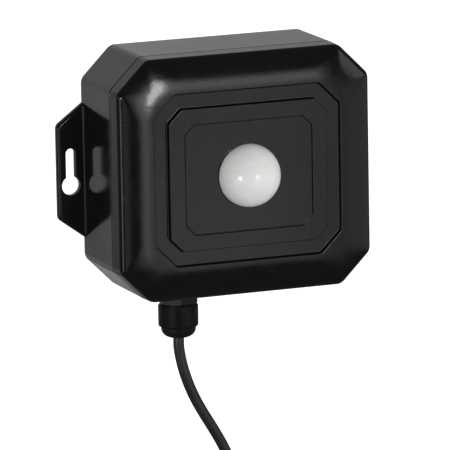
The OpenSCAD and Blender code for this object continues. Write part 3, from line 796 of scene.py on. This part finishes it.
def all_materials():
    """The material of each slot."""
    made = {name: moulded_plastic(name, *values) for name, values in MOULDED.items()}
    made.update({name: brushed_metal(name, *values) for name, values in METALS.items()})
    return {**made, "lens_white": lens_material(), "board": board_material(), "jacket": jacket_material(),
            "strap": strap_material()}


MATERIALS = all_materials()


# Cord

def cord_centre(layer_position):
    """A point of the coil's centreline after a number of turns."""
    layer = min(int(layer_position // TURNS_PER_LAYER), COIL_LAYERS - 1)
    spent = layer_position - layer * TURNS_PER_LAYER
    radius = COIL_R - COIL_PITCH * (spent if layer % 2 == 0 else TURNS_PER_LAYER - spent)
    depth = GLAND_DEPTH
    for climb in range(1, COIL_LAYERS):
        share = max(0, min(1, (layer_position - climb * TURNS_PER_LAYER) * 2 + 0.5))
        depth += COIL_PITCH * share * share * (3 - 2 * share)
    angle = 2 * pi * layer_position
    return Vector((COIL_X + radius * cos(angle), -depth, COIL_Z - radius * sin(angle)))


def eased(points, steps):
    """A smooth line through given points, with a few steps between each two."""
    line = []
    for i in range(len(points) - 1):
        a, b = points[max(i - 1, 0)], points[i]
        c, d = points[i + 1], points[min(i + 2, len(points) - 1)]
        for k in range(steps):
            t = k / steps
            line.append(0.5 * (2 * b + (c - a) * t + (2 * a - 5 * b + 4 * c - d) * t * t
                               + (3 * b - a - 3 * c + d) * t * t * t))
    return line + [points[-1]]


def cord_line():
    """The cord's whole centreline, from inside the cap nut to the plug."""
    lead = [Vector((x, -GLAND_DEPTH, z)) for x, z in LEAD_ROUTE]
    tail = [Vector((x, -COIL_FRONT, z)) for x, z in TAIL_ROUTE]
    turns = [cord_centre(i / COIL_STEPS) for i in range(COIL_TURNS * COIL_STEPS + 1)]
    start = [Vector((GLAND_X, -GLAND_DEPTH, NUT_END + CORD_START))]
    return start + eased(lead, 3)[:-1] + [lead[-1]] + turns + eased(tail, 3)


def length_of(line):
    return sum((b - a).length for a, b in zip(line, line[1:]))


def directions_along(line, closed):
    """The direction of a line at each of its points."""
    count = len(line)
    tangents = []
    for i, point in enumerate(line):
        before = line[i - 1] if i or closed else point
        after = line[(i + 1) % count] if i + 1 < count or closed else point
        tangents.append((after - before).normalized())
    return tangents


def swept(name, line, section):
    """A section of (side, out) points carried along an open line, mapped by its way round."""
    tangents = directions_along(line, False)
    side = tangents[0].cross(Vector((0, 1, 0))).normalized()
    rings = []
    for point, tangent in zip(line, tangents):
        side = (side - tangent * side.dot(tangent)).normalized()
        out = tangent.cross(side)
        rings.append([point + side * a + out * b for a, b in section])
    around = [0.0]
    for a, b in zip(section, section[1:] + section[:1]):
        around.append(around[-1] + hypot(b[0] - a[0], b[1] - a[1]))
    return run_skin(name, line, rings, list(zip(around, around[1:])), False)


def banded(name, line, axis, section, closed=True):
    """A flat band whose width lies along an axis, carried along a line and mapped by its width."""
    rings = []
    for point, tangent in zip(line, directions_along(line, closed)):
        out = tangent.cross(axis).normalized()
        rings.append([point + axis * a + out * b for a, b in section])
    across = [(a[0], b[0]) for a, b in zip(section, section[1:] + section[:1])]
    return run_skin(name, line, rings, across, closed)


def run_skin(name, line, rings, across, closed):
    """A skin over the rings along a line, with a map named run: across the skin and along the line."""
    count, spans = len(across), len(rings) if closed else len(rings) - 1
    along = [0.0]
    for a, b in zip(line, line[1:] + line[:1]):
        along.append(along[-1] + (b - a).length)
    faces, maps = [], []
    for i in range(spans):
        low, high = along[i], along[i + 1]
        for k, (first, second) in enumerate(across):
            m, j = (k + 1) % count, (i + 1) % len(rings)
            faces.append((i * count + k, i * count + m, j * count + m, j * count + k))
            maps += [(first, low), (second, low), (second, high), (first, high)]
    if not closed:
        last = (len(rings) - 1) * count
        faces += [tuple(range(count - 1, -1, -1)), tuple(range(last, last + count))]
        maps += [(0, 0)] * (2 * count)
    mesh = bpy.data.meshes.new(name)
    mesh.from_pydata([tuple(p) for ring in rings for p in ring], [], faces)
    layer = mesh.uv_layers.new(name="run")
    for i, spot in enumerate(maps):
        layer.data[i].uv = spot
    mesh.shade_smooth()
    piece = linked(name, mesh)
    face_outwards(piece, weld=False)
    return piece


def cord_tube(name, line):
    """The jacket along a line."""
    turns = [2 * pi * k / CORD_SIDES for k in range(CORD_SIDES)]
    tube = swept(name, line, [(CORD_R * cos(a), CORD_R * sin(a)) for a in turns])
    tube.data.set_sharp_from_angle(angle=radians(60))
    return tube


def add_cord(pieces_on_it):
    line = cord_line()
    cord = finished(cord_tube("cord", line), "jacket", ["cord_lead", "cord_coil", "cord_tail"])
    length_of(line)
    held = cord_tube("cord_in_gland", [Vector((GLAND_X, GLAND_Y, z)) for z in
                                       (NUT_END + CORD_START, NUT_END + 9 * MM, -52 * MM, JACKET_END)])
    finished(held, "jacket", ["cord_inner"])


# Coil straps

def strap_line(angle):
    """The loop that a strap follows round the wound turns."""
    half = STRAP_THICK / 2
    low_r = COIL_R - TURNS_PER_LAYER * COIL_PITCH - CORD_R - STRAP_GAP - half
    high_r = COIL_R + CORD_R + STRAP_GAP + half
    low_d = GLAND_DEPTH - CORD_R - STRAP_GAP - half
    high_d = COIL_FRONT + CORD_R + STRAP_GAP + half
    loop = rounded([(low_r, -high_d), (high_r, -high_d), (high_r, -low_d), (low_r, -low_d)], 2.6 * MM, 8, 8)
    a = radians(angle)
    return [Vector((COIL_X + p.x * cos(a), p.y, COIL_Z + p.x * sin(a))) for p in loop]


def strap_section(width, thick):
    """A flat band with softened edges."""
    w, t, e = width / 2, thick / 2, thick * 0.3
    return [(w, -t + e), (w, t - e), (w - e, t), (0, t), (e - w, t), (-w, t - e), (-w, e - t), (e - w, -t),
            (0, -t), (w - e, -t)]


def strap_end(line):
    """The strap's free end, lapped over the front of the loop."""
    share = [p for p in line if p.y < min(q.y for q in line) + 0.01 * MM]
    first, last = share[0], share[-1]
    if (first - last).length < 1 * MM:
        last = share[len(share) // 2]
    lift = Vector((0, -0.68 * MM, 0))
    return [first.lerp(last, 0.12 + 0.7 * k / 12) + lift for k in range(13)]


def add_straps():
    band, end = strap_section(STRAP_W, STRAP_THICK), strap_section(4.6 * MM, 0.5 * MM)
    straps = []
    for angle in STRAP_ANGLES:
        line, a = strap_line(angle), radians(angle)
        axis = Vector((-sin(a), 0, cos(a)))
        straps += [banded("strap_%d" % angle, line, axis, band),
                   banded("strap_end_%d" % angle, strap_end(line), axis, end, False)]
    return finished(joined("coil_straps", straps), "strap", ["cord_ties"])


def joined(name, parts):
    """Parts made one mesh, with their maps kept."""
    work = bmesh.new()
    for part in parts:
        work.from_mesh(part.data)
    mesh = bpy.data.meshes.new(name)
    work.to_mesh(mesh)
    work.free()
    for part in parts:
        discard(part)
    mesh.shade_smooth()
    return linked(name, mesh)


# Repeated shapes

def repeat_tree(name, layout, **inputs):
    """A tree that sets copies of a shape on a layout, joins them to the piece and makes them real."""
    tree = bpy.data.node_groups.new(name, "GeometryNodeTree")
    for label, kind in {"Geometry": "Geometry", "Shape": "Object", "Finish": "Material", **inputs}.items():
        tree.interface.new_socket(label, in_out="INPUT", socket_type="NodeSocket" + kind)
    tree.interface.new_socket("Geometry", in_out="OUTPUT", socket_type="NodeSocketGeometry")
    n = Nodes(tree)
    given = n.add("NodeGroupInput").outputs
    spots, change = layout(n, given)
    shape = n.add("GeometryNodeObjectInfo", {"Object": given["Shape"]}, transform_space="ORIGINAL")
    copies = n.add("GeometryNodeInstanceOnPoints", {"Points": spots, "Instance": shape.outputs["Geometry"],
                                                    **change}).outputs["Instances"]
    both = n.add("GeometryNodeJoinGeometry")
    n.put(given["Geometry"], both.inputs["Geometry"])
    n.put(copies, both.inputs["Geometry"])
    real = n.add("GeometryNodeRealizeInstances", {"Geometry": both.outputs["Geometry"]}).outputs["Geometry"]
    done = n.add("GeometryNodeSetMaterial", {"Geometry": real, "Material": given["Finish"]})
    n.add("NodeGroupOutput", {"Geometry": done.outputs["Geometry"]})
    return tree


def ring_layout(n, given):
    """Points round a circle, each copy facing away from the middle."""
    circle = n.add("GeometryNodeMeshCircle", {"Vertices": given["Count"], "Radius": given["Radius"]})
    moved = n.add("GeometryNodeTransform", {"Geometry": circle.outputs["Mesh"],
                                            "Translation": given["Centre"]}).outputs["Geometry"]
    place = n.add("GeometryNodeInputPosition").outputs["Position"]
    away = n.add("ShaderNodeVectorMath", {0: place, 1: given["Centre"]}, operation="SUBTRACT")
    turn = n.add("FunctionNodeAlignRotationToVector", {"Vector": away.outputs["Vector"]}, axis="X")
    return moved, {"Rotation": turn.outputs["Rotation"]}


def corner_layout(n, given):
    """The four corners of a rectangle that stands parallel to the wall."""
    grid = n.add("GeometryNodeMeshGrid", {"Size X": given["Width"], "Size Y": given["Height"],
                                          "Vertices X": 2, "Vertices Y": 2})
    stood = n.add("GeometryNodeTransform", {"Geometry": grid.outputs["Mesh"], "Rotation": (pi / 2, 0, 0),
                                            "Translation": given["Centre"]}).outputs["Geometry"]
    return stood, {}


def line_layout(n, given):
    """Points down a line from its first spot, each copy wider than the one before."""
    line = n.add("GeometryNodeMeshLine", {"Count": given["Count"], "Start Location": given["Start"],
                                          "Offset": given["Step"]})
    index = n.add("GeometryNodeInputIndex").outputs["Index"]
    wide = n.plus(n.times(index, given["Growth"]), 1.0)
    size = n.add("ShaderNodeCombineXYZ", {"X": wide, "Y": wide, "Z": 1.0}).outputs["Vector"]
    return line.outputs["Mesh"], {"Scale": size}


def repeat(piece, tree, shape, slot, **values):
    """Runs a repeating tree on a piece and keeps the result as its plain mesh."""
    step = piece.modifiers.new("repeat", "NODES")
    step.node_group = tree
    values.update(Shape=shape, Finish=MATERIALS[slot])
    for item in tree.interface.items_tree:
        if item.in_out == "INPUT" and item.name in values:
            step[item.identifier] = values[item.name]
    evaluated(piece)
    discard(shape)


# Housing

def base_shell():
    """The base without its ears: the rounded rear edge, the wall, the grooved rim and the hollow."""
    sunk = 1.2 * MM
    spots = soft_edge(0.5 * MM, 4) + [(0, 1.2 * MM), (0, BASE_DEPTH - 1 * MM)]
    spots += [(gone, BASE_DEPTH - left) for left, gone in soft_edge(0.3 * MM, 4)]
    groove = [(0.8 * MM, 0), (0.8 * MM, sunk), (1.8 * MM, sunk), (1.8 * MM, 0), (WALL, 0)]
    spots += [(inset, BASE_DEPTH - down) for inset, down in groove] + [(WALL, FLOOR)]
    return loft("housing_base", stacked(body_outline, spots))


def ear_outline(side):
    """One ear's outline for any inset."""
    def outline(inset):
        x0 = BODY_W / 2 - WALL / 2
        x1 = BODY_W / 2 + EAR_REACH - inset
        fall = inset * hypot(1, EAR_SLOPE)
        z0 = EAR_HALF + WALL / 2 * EAR_SLOPE - fall
        z1 = z0 - (x1 - x0) * EAR_SLOPE
        corners = [Vector(p) for p in ((x0, -z0), (x1, -z1), (x1, z1), (x0, z0))]
        arcs = corner_arc(*corners[:3], 3 * MM, 8) + corner_arc(*corners[1:], 3 * MM, 8)
        return [Vector((side * p.x, p.y + EAR_Z)) for p in (corners[0], *arcs, corners[3])]
    return outline


def ear(side):
    """One ear, rounded in front, before its keyhole is cut."""
    spots = soft_edge(0.4 * MM, 4) + [(gone, EAR_THICK - left) for left, gone in soft_edge(1.2 * MM, 8)]
    return loft("ear", stacked(ear_outline(side), spots))


def ear_cove(side):
    """The small hollow fillet where an ear's front meets the housing's side."""
    high, inner = EAR_HALF - 1.6 * MM, BODY_W / 2 - 1 * MM
    rings = []
    for left, gone in soft_edge(0.8 * MM, 6):
        x, depth = BODY_W / 2 + left, EAR_THICK + gone
        spots = [(inner, -high), (x, -high), (x, high), (inner, high)]
        rings.append([Vector((side * a, -depth, b + EAR_Z)) for a, b in spots])
    low = [p + Vector((0, 1 * MM, 0)) for p in rings[0]]
    return loft("cove", [low] + rings)


def keyhole_outline(side):
    """One keyhole's outline for any growth."""
    def outline(grow):
        head, slot = KEY_HEAD_R + grow, KEY_SLOT_R + grow
        top = KEY_TOP_Z - KEY_SLOT_R
        start = asin(slot / head)
        sweep = 2 * pi - 2 * start
        points = [Vector((slot * cos(a), top + slot * sin(a)))
                  for a in (pi * k / 16 for k in range(17))]
        points += [Vector((-head * sin(a), KEY_HEAD_Z + head * cos(a)))
                   for a in (start + sweep * k / 36 for k in range(37))]
        return [Vector((side * (KEY_X + p.x), p.y)) for p in points]
    return outline


def keyhole_cutter(side):
    lip = 0.3 * MM
    edge = soft_edge(lip, 3)
    spots = [(lip, -1 * MM), *edge, *((gone, EAR_THICK - left) for left, gone in edge),
             (lip, EAR_THICK + 2 * MM)]
    return loft("keyhole", stacked(keyhole_outline(side), spots))


def screw_bore(x, z):
    """A counterbore from behind with a softened mouth, and the clearance hole beyond it."""
    wide, narrow, mouth = SCREW_HEAD_R + 0.4 * MM, 1.85 * MM, 0.35 * MM
    profile = [(0, -1 * MM), (wide + mouth, -1 * MM), (wide + mouth, 0)]
    profile += [(wide + left, gone) for left, gone in soft_edge(mouth, 3)]
    profile += [(wide, SCREW_SEAT), (narrow, SCREW_SEAT), (narrow, BASE_DEPTH + 1 * MM),
                (0, BASE_DEPTH + 1 * MM)]
    return lathe("bore", profile, from_wall(x, z), 48)


def add_base():
    base = base_shell()
    for side in (-1, 1):
        combine(base, [ear(side), ear_cove(side)], "UNION")
    corners = [(x, z) for x in (-TOWER_X, TOWER_X) for z in (-TOWER_Z, TOWER_Z)]
    combine(base, [rod("tower", TOWER_R, 0.5 * MM, BASE_DEPTH - 0.2 * MM, from_wall(x, z), 48)
                   for x, z in corners], "UNION")
    combine(base, [screw_bore(x, z) for x, z in corners], "DIFFERENCE")
    low = -BODY_H / 2
    gland_hole = rod("gland_hole", 6.1 * MM, low - 1 * MM, low + 4 * MM, ON_GLAND, 48)
    combine(base, [keyhole_cutter(-1), keyhole_cutter(1), gland_hole], "DIFFERENCE")
    return finished(settle_normals(base, 32), "gloss_housing", ["rear_base"])


def shoulder_outline(share):
    """The shoulder's outline between its start at the rounded edge and its end at the frame line."""
    inset = SIDE_DRAFT + EDGE_R * (1 - cos(EDGE_SWEEP))
    width = BODY_W - 2 * inset + (FRAME_W - BODY_W + 2 * inset) * share
    height = BODY_H - 2 * inset + (FRAME_H - BODY_H + 2 * inset) * share
    chamfer = BODY_CHAMFER - CHAMFER_SHARE * inset
    chamfer += (FRAME_CHAMFER - chamfer) * share
    radius = (BODY_ROUND - inset) * (1 - share) + FRAME_ROUND * share + SHOULDER_ROUND * sin(pi * share)
    return rounded(octagon(width, height, chamfer), radius)


def cover_outside():
    """The cover from its seam over the side and the rounded edge to the end of the shoulder."""
    edge_steps, steps = 8, 20
    spots = [(left, COVER_REAR + gone) for left, gone in soft_edge(0.3 * MM, 4)]
    spots += [(0, COVER_REAR + 0.9 * MM), (SIDE_DRAFT, SIDE_END - 0.5 * MM)]
    spots += [(SIDE_DRAFT + EDGE_R * (1 - cos(a)), SIDE_END + EDGE_R * sin(a))
              for a in (EDGE_SWEEP * i / edge_steps for i in range(edge_steps + 1))]
    slope = [(share, SHOULDER_START + (FRAME_DEPTH - SHOULDER_START) * (1 - (1 - share) ** 2))
             for share in (i / steps for i in range(1, steps))]
    return stacked(body_outline, spots) + stacked(shoulder_outline, slope)


def cover_groove():
    """The frame line, the groove's two walls and floor, and the panel's edge."""
    lip, foot, draft = 0.25 * MM, 0.25 * MM, 0.15 * MM
    outer = [(-left, FRAME_DEPTH - gone) for left, gone in soft_edge(0.5 * MM, 5)]
    outer += [(draft + gone, GROOVE_FLOOR + left) for left, gone in soft_edge(foot, 3)]
    outer += [(draft + 2 * foot, GROOVE_FLOOR)]
    inner = [(GROOVE_W - draft - 2 * foot, GROOVE_FLOOR)]
    inner += [(GROOVE_W - draft - left, GROOVE_FLOOR + gone) for left, gone in soft_edge(foot, 3)]
    inner += [(GROOVE_W + gone, PANEL_DEPTH - left) for left, gone in soft_edge(lip, 4)]
    inner += [(GROOVE_W + 2 * lip, PANEL_DEPTH)]
    return stacked(frame_outline(FRAME_ROUND), outer) + stacked(frame_outline(PANEL_ROUND), inner)


def cover_label():
    """The bare label recess, with a fine line round its floor, and the lens opening."""
    lip, draft, line_w, line_deep = 0.12 * MM, 0.15 * MM, 0.36 * MM, 0.3 * MM
    recess = [(-4 * lip, PANEL_DEPTH)] + [(-left, PANEL_DEPTH - gone) for left, gone in soft_edge(lip, 3)]
    line = ((0, line_deep), (line_w * 0.5, line_deep), (line_w, 0), (line_w + 3 * lip, 0))
    recess += [(draft + into, LABEL_FLOOR - down) for into, down in line]
    hole = [(LENS_HOLE_R + out, LABEL_FLOOR) for out in (3 * MM, 0.8 * MM)]
    hole += [(LENS_HOLE_R + left, LABEL_FLOOR - gone) for left, gone in soft_edge(2 * lip, 4)]
    return stacked(label_outline, recess) + stacked(hole_outline, hole)


def cover_inside():
    """The lens pocket, the hollow and the lip that stands in the base."""
    lip_in, lip_t, lip_end = WALL + 0.1 * MM, 1 * MM, BASE_DEPTH - 2 * MM
    margin = GROOVE_W + 2.5 * MM
    shell = [(9 * MM, INNER_DEPTH), (lip_in + lip_t, INNER_DEPTH - 2.2 * MM), (lip_in + lip_t, lip_end),
             (lip_in, lip_end), (lip_in, COVER_REAR)]
    return (stacked(hole_outline, [(LENS_HOLE_R, POCKET_DEPTH)])
            + stacked(frame_outline(POCKET_ROUND), [(margin, POCKET_DEPTH), (margin, INNER_DEPTH)])
            + stacked(body_outline, shell))


def add_cover():
    rings = cover_outside() + cover_groove() + cover_label() + cover_inside()
    cover = loft("housing_cover", rings, closed=True)
    return finished(settle_normals(cover, 32), "gloss_housing", ["front_cover"])


# Lens

def add_lens():
    """The hollow half sphere and its flange."""
    inner, flange_r, flange_front = DOME_R - DOME_WALL, DOME_R + 2.9 * MM, POCKET_DEPTH - 0.8 * MM
    flange_rear, arc = flange_front - 1.6 * MM, quarter(48)
    profile = [(inner, flange_rear), (flange_r, flange_rear), (flange_r, flange_front),
               (DOME_R, flange_front)]
    profile += [(DOME_R * c, LABEL_FLOOR + DOME_R * s) for s, c in arc[:-1]]
    profile += [(0, LABEL_FLOOR + DOME_R), (0, LABEL_FLOOR + inner)]
    profile += [(inner * s, LABEL_FLOOR + inner * c) for s, c in arc[1:]]
    lens = lathe("lens_dome", profile, from_wall(0, 0), 128)
    return finished(settle_normals(lens, 45), "lens_white", ["dome_lens"])


# Gland

def hex_block():
    """The gland's hexagon, its corners broken by a cone above and below."""
    half = HEX_FLATS / 2
    reach = half / cos(pi / 6)
    corners = [Vector((reach * cos(a), reach * sin(a)))
               for a in (radians(HEX_TURN + 60 * k) for k in range(6))]
    outline = rounded(corners, 0.7 * MM, 4, 2)
    rings = [[Vector((GLAND_X + p.x, GLAND_Y + p.y, z)) for p in outline] for z in (HEX_LOW, HEX_HIGH)]
    cone = [(0, HEX_LOW), (half, HEX_LOW), (half + 1.5 * MM, HEX_LOW + 0.85 * MM),
            (half + 1.5 * MM, HEX_HIGH - 0.35 * MM), (half + 0.6 * MM, HEX_HIGH), (0, HEX_HIGH)]
    return combine(loft("gland_hex", rings), [lathe("cone", cone, ON_GLAND, 96)], "INTERSECT")


def gland_barrel():
    """The threaded stub above the hexagon and the barrel inside the cap nut, bored for the cord."""
    bore, neck, barrel, thread = CORD_R + 0.25 * MM, 4.9 * MM, 6.6 * MM, 6 * MM
    profile = [(bore, THREAD_TOP), (bore, HEX_LOW - 2.5 * MM), (neck, HEX_LOW - 2.5 * MM),
               (neck, NUT_STEP + 2.2 * MM), (barrel, NUT_STEP + 2.2 * MM), (barrel, HEX_LOW + 0.5 * MM),
               (thread, HEX_LOW + 0.5 * MM), (thread, THREAD_TOP - 0.5 * MM), (5.5 * MM, THREAD_TOP)]
    return lathe("barrel", profile, ON_GLAND, 64)


def add_gland():
    block = hex_block()
    combine(block, [rod("way", 5.5 * MM, HEX_LOW - 1 * MM, HEX_HIGH + 1 * MM, ON_GLAND, 64)], "DIFFERENCE")
    combine(block, [gland_barrel()], "UNION")
    return finished(settle_normals(block, 30), "matte_nylon", ["gland_body"])


def nut_profile():
    """The cap nut's smooth body under its ribs, its rounded end and its bore."""
    root, step_r, mouth = NUT_R - RIB_HEIGHT, NUT_R - 1.15 * MM, CORD_R + 0.75 * MM
    bottom, bore, seat = NUT_STEP - 0.9 * MM, CORD_R + 0.15 * MM, NUT_STEP - 1.9 * MM
    profile = [(6.7 * MM, NUT_TOP), (root - 0.35 * MM, NUT_TOP)]
    profile += [(root - left, NUT_TOP - gone) for left, gone in soft_edge(0.35 * MM, 3)]
    profile += [(root - 0.12 * MM, NUT_STEP + 0.5 * MM)]
    profile += [(root - 0.12 * MM - gone, NUT_STEP + left) for left, gone in soft_edge(0.5 * MM, 3)]
    profile += [(step_r + 0.05 * MM, NUT_STEP - 0.35 * MM), (step_r, bottom)]
    profile += [(mouth + (step_r - mouth) * c, bottom - (bottom - NUT_END) * s) for s, c in quarter(14)[1:]]
    return profile + [(CORD_R + 0.5 * MM, NUT_END + 0.15 * MM), (bore, NUT_END + 1.2 * MM), (bore, seat),
                      (4.9 * MM, seat), (4.9 * MM, NUT_STEP + 2 * MM), (6.7 * MM, NUT_STEP + 2 * MM)]


def grip_rib():
    """One rounded rib, standing along Z and facing +X, tapered at both ends."""
    half, sunk = 0.27 * MM, 0.25 * MM
    low, high = NUT_STEP + 0.15 * MM, NUT_TOP - 0.55 * MM
    rings = []
    for z, scale in ((low, 0.3), (low + 0.45 * MM, 0.86), (low + 0.9 * MM, 0.97), (high - 0.5 * MM, 1),
                     (high - 0.15 * MM, 0.85), (high, 0.3)):
        top = RIB_HEIGHT * scale
        rings.append([Vector((x, y, z)) for x, y in (
            (-sunk, -half), (-sunk, half), (top * 0.55, half * 0.86), (top * 0.94, half * 0.4),
            (top * 0.94, -half * 0.4), (top * 0.55, -half * 0.86))])
    return settle_normals(loft("rib", rings), 50)


def add_cap_nut():
    nut = lathe("gland_cap_nut", nut_profile(), ON_GLAND, 120)
    tree = repeat_tree("ribs_round_a_nut", ring_layout, Count="Int", Radius="Float", Centre="Vector")
    repeat(nut, tree, grip_rib(), "matte_nylon", Count=NUT_RIBS, Radius=NUT_R - RIB_HEIGHT,
           Centre=(GLAND_X, GLAND_Y, 0.0))
    return finished(settle_normals(nut, 40), "matte_nylon", ["gland_nut"])


# Case screws

def cross_recess(top, depth):
    """Two tapered blades that cut a cross into a screw head."""
    blades = []
    for wide, deep in ((2.1 * MM, 0.36 * MM), (0.36 * MM, 2.1 * MM)):
        spots = [(-wide, -deep), (wide, -deep), (wide, deep), (-wide, deep)]
        levels = ((1.15, top - 1 * MM), (1.15, top), (0.6, top + depth))
        blades.append(loft("blade", [[Vector((x * share, -level, z * share)) for x, z in spots]
                                     for share, level in levels]))
    return blades


def case_screw():
    """A pan-head screw with a threaded shank, standing at the origin's X and Z, its head towards the wall."""
    top, head_r, shank_r, pitch = SCREW_SEAT - 2.4 * MM, SCREW_HEAD_R, 1.45 * MM, 0.9 * MM
    root, first, end = shank_r * 0.78, SCREW_SEAT + 1 * MM, SCREW_SEAT + SCREW_LENGTH - shank_r
    profile = [(0, top)] + [(head_r * (0.5 + 0.5 * s), top + 1.5 * MM * (1 - c)) for s, c in quarter(8)]
    profile += [(head_r, SCREW_SEAT - 0.2 * MM), (head_r - 0.2 * MM, SCREW_SEAT), (shank_r, SCREW_SEAT)]
    for i in range(int((end - SCREW_SEAT - 1 * MM) / pitch)):
        start = first + i * pitch
        profile += [(root, start), (shank_r, start + pitch * 0.45), (shank_r, start + pitch * 0.55)]
    profile += [(root, end), (0, SCREW_SEAT + SCREW_LENGTH)]
    screw = lathe("screw", profile, from_wall(0, 0), 40)
    combine(screw, cross_recess(top, 1.3 * MM), "DIFFERENCE")
    return settle_normals(screw, 35)


def add_case_screws():
    screws = mesh_object("housing_screws", [], [])
    tree = repeat_tree("copies_at_corners", corner_layout, Width="Float", Height="Float", Centre="Vector")
    repeat(screws, tree, case_screw(), "steel", Width=2 * TOWER_X, Height=2 * TOWER_Z, Centre=(0.0, 0.0, 0.0))
    return finished(screws, "steel", ["case_screws"])


# Plug

def soft_ring(radius, inner, half, edge):
    """A turned ring about the origin, with rounded outer edges."""
    profile = [(inner, -half), (radius - edge, -half)]
    profile += [(radius - left, -half + gone) for left, gone in soft_edge(edge, 4)]
    profile += [(radius - gone, half - left) for left, gone in soft_edge(edge, 4)]
    return settle_normals(lathe("ring", profile + [(inner, half)], upright(0, 0, 0, -1), 72), 50)


def add_plug_grip():
    """A tapering strain relief with five rings, and a waisted barrel with grip bands."""
    bore, first = CORD_R - 0.1 * MM, 3.7 * MM
    waist = [(13.8, 4.1), (14.1, 4.45), (14.6, 4.75), (15.2, 4.8), (17, 4.8), (18.2, 4.68), (20, 4.5),
             (26, 4.5), (27.8, 4.68), (29, 4.8), (30.6, 4.8), (31.2, 4.72), (31.7, 4.5), (32, 4.15)]
    profile = [(bore, 0), (2.8 * MM, 0), (3 * MM, 0.3 * MM), (3.85 * MM, 13.8 * MM)]
    profile += [(r * MM, d * MM) for d, r in waist]
    profile += [(3.1 * MM, 32 * MM), (0, 32 * MM), (0, 3 * MM), (bore, 3 * MM)]
    grip = lathe("plug_moulded_grip", profile, ON_PLUG, 72)
    tree = repeat_tree("rings_down_a_line", line_layout, Count="Int", Start="Vector", Step="Vector",
                       Growth="Float")
    for shape, count, start, step, growth in (
            (soft_ring(first, 2.9 * MM, 0.7 * MM, 0.35 * MM), 5, 2.2 * MM, 2.6 * MM, 0.14 * MM / first),
            (soft_ring(4.72 * MM, 4.3 * MM, 0.3 * MM, 0.16 * MM), 6, 20.2 * MM, 1.12 * MM, 0.0)):
        repeat(grip, tree, shape, "matte_nylon", Count=count, Start=(PLUG_X, -COIL_FRONT, PLUG_Z - start),
               Step=(0.0, 0.0, -step), Growth=growth)
    return finished(settle_normals(grip, 40), "matte_nylon", ["plug_grip"])


def turned(spots):
    """A plug part turned from pairs of distance and radius in millimetres, closed on its axis."""
    profile = [(0, spots[0][0] * MM)] + [(r * MM, d * MM) for d, r in spots] + [(0, spots[-1][0] * MM)]
    return lathe("part", profile, ON_PLUG, 64)


def add_plug_contacts():
    sleeve = turned([(32, 2.95), (32.15, 3.1), (32.85, 3.1), (33, 2.95), (33, 1.9), (33.15, 1.75),
                     (38.9, 1.75), (39, 1.65)])
    ring = turned([(40, 1.65), (40.1, 1.75), (42.1, 1.75), (42.2, 1.65)])
    tip = turned([(43.1, 1.65), (43.2, 1.75), (43.6, 1.75), (43.9, 1.6), (44.2, 1.38), (44.5, 1.3),
                  (44.8, 1.36), (45.1, 1.6), (45.4, 1.75), (45.8, 1.7), (46.2, 1.5), (46.6, 1.12),
                  (46.85, 0.8), (47, 0.45)])
    contacts = joined("plug_turned_contacts", [sleeve, ring, tip])
    return finished(settle_normals(contacts, 35), "contact", ["plug_contacts"])


def add_plug_insulators():
    rings = [turned([(low, 1.72), (high, 1.72)]) for low, high in ((39, 40), (42.2, 43.1))]
    return finished(settle_normals(joined("plug_insulating_rings", rings), 35), "chip", ["plug_insulators"])


# Scene

def main():
    bpy.context.scene.view_settings.view_transform = "Standard"
    add_camera()
    ties = add_straps()
    add_cord([ties, add_plug_grip(), add_plug_contacts(), add_plug_insulators()])
    add_floor()
    add_world()
    add_lamps()
    add_base()
    add_cover()
    add_lens()
    add_gland()
    add_cap_nut()
    add_case_screws()
    for slot, nodes in KEPT_SOLIDS.items():
        for node in nodes:
            dress(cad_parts[node], slot)


main()
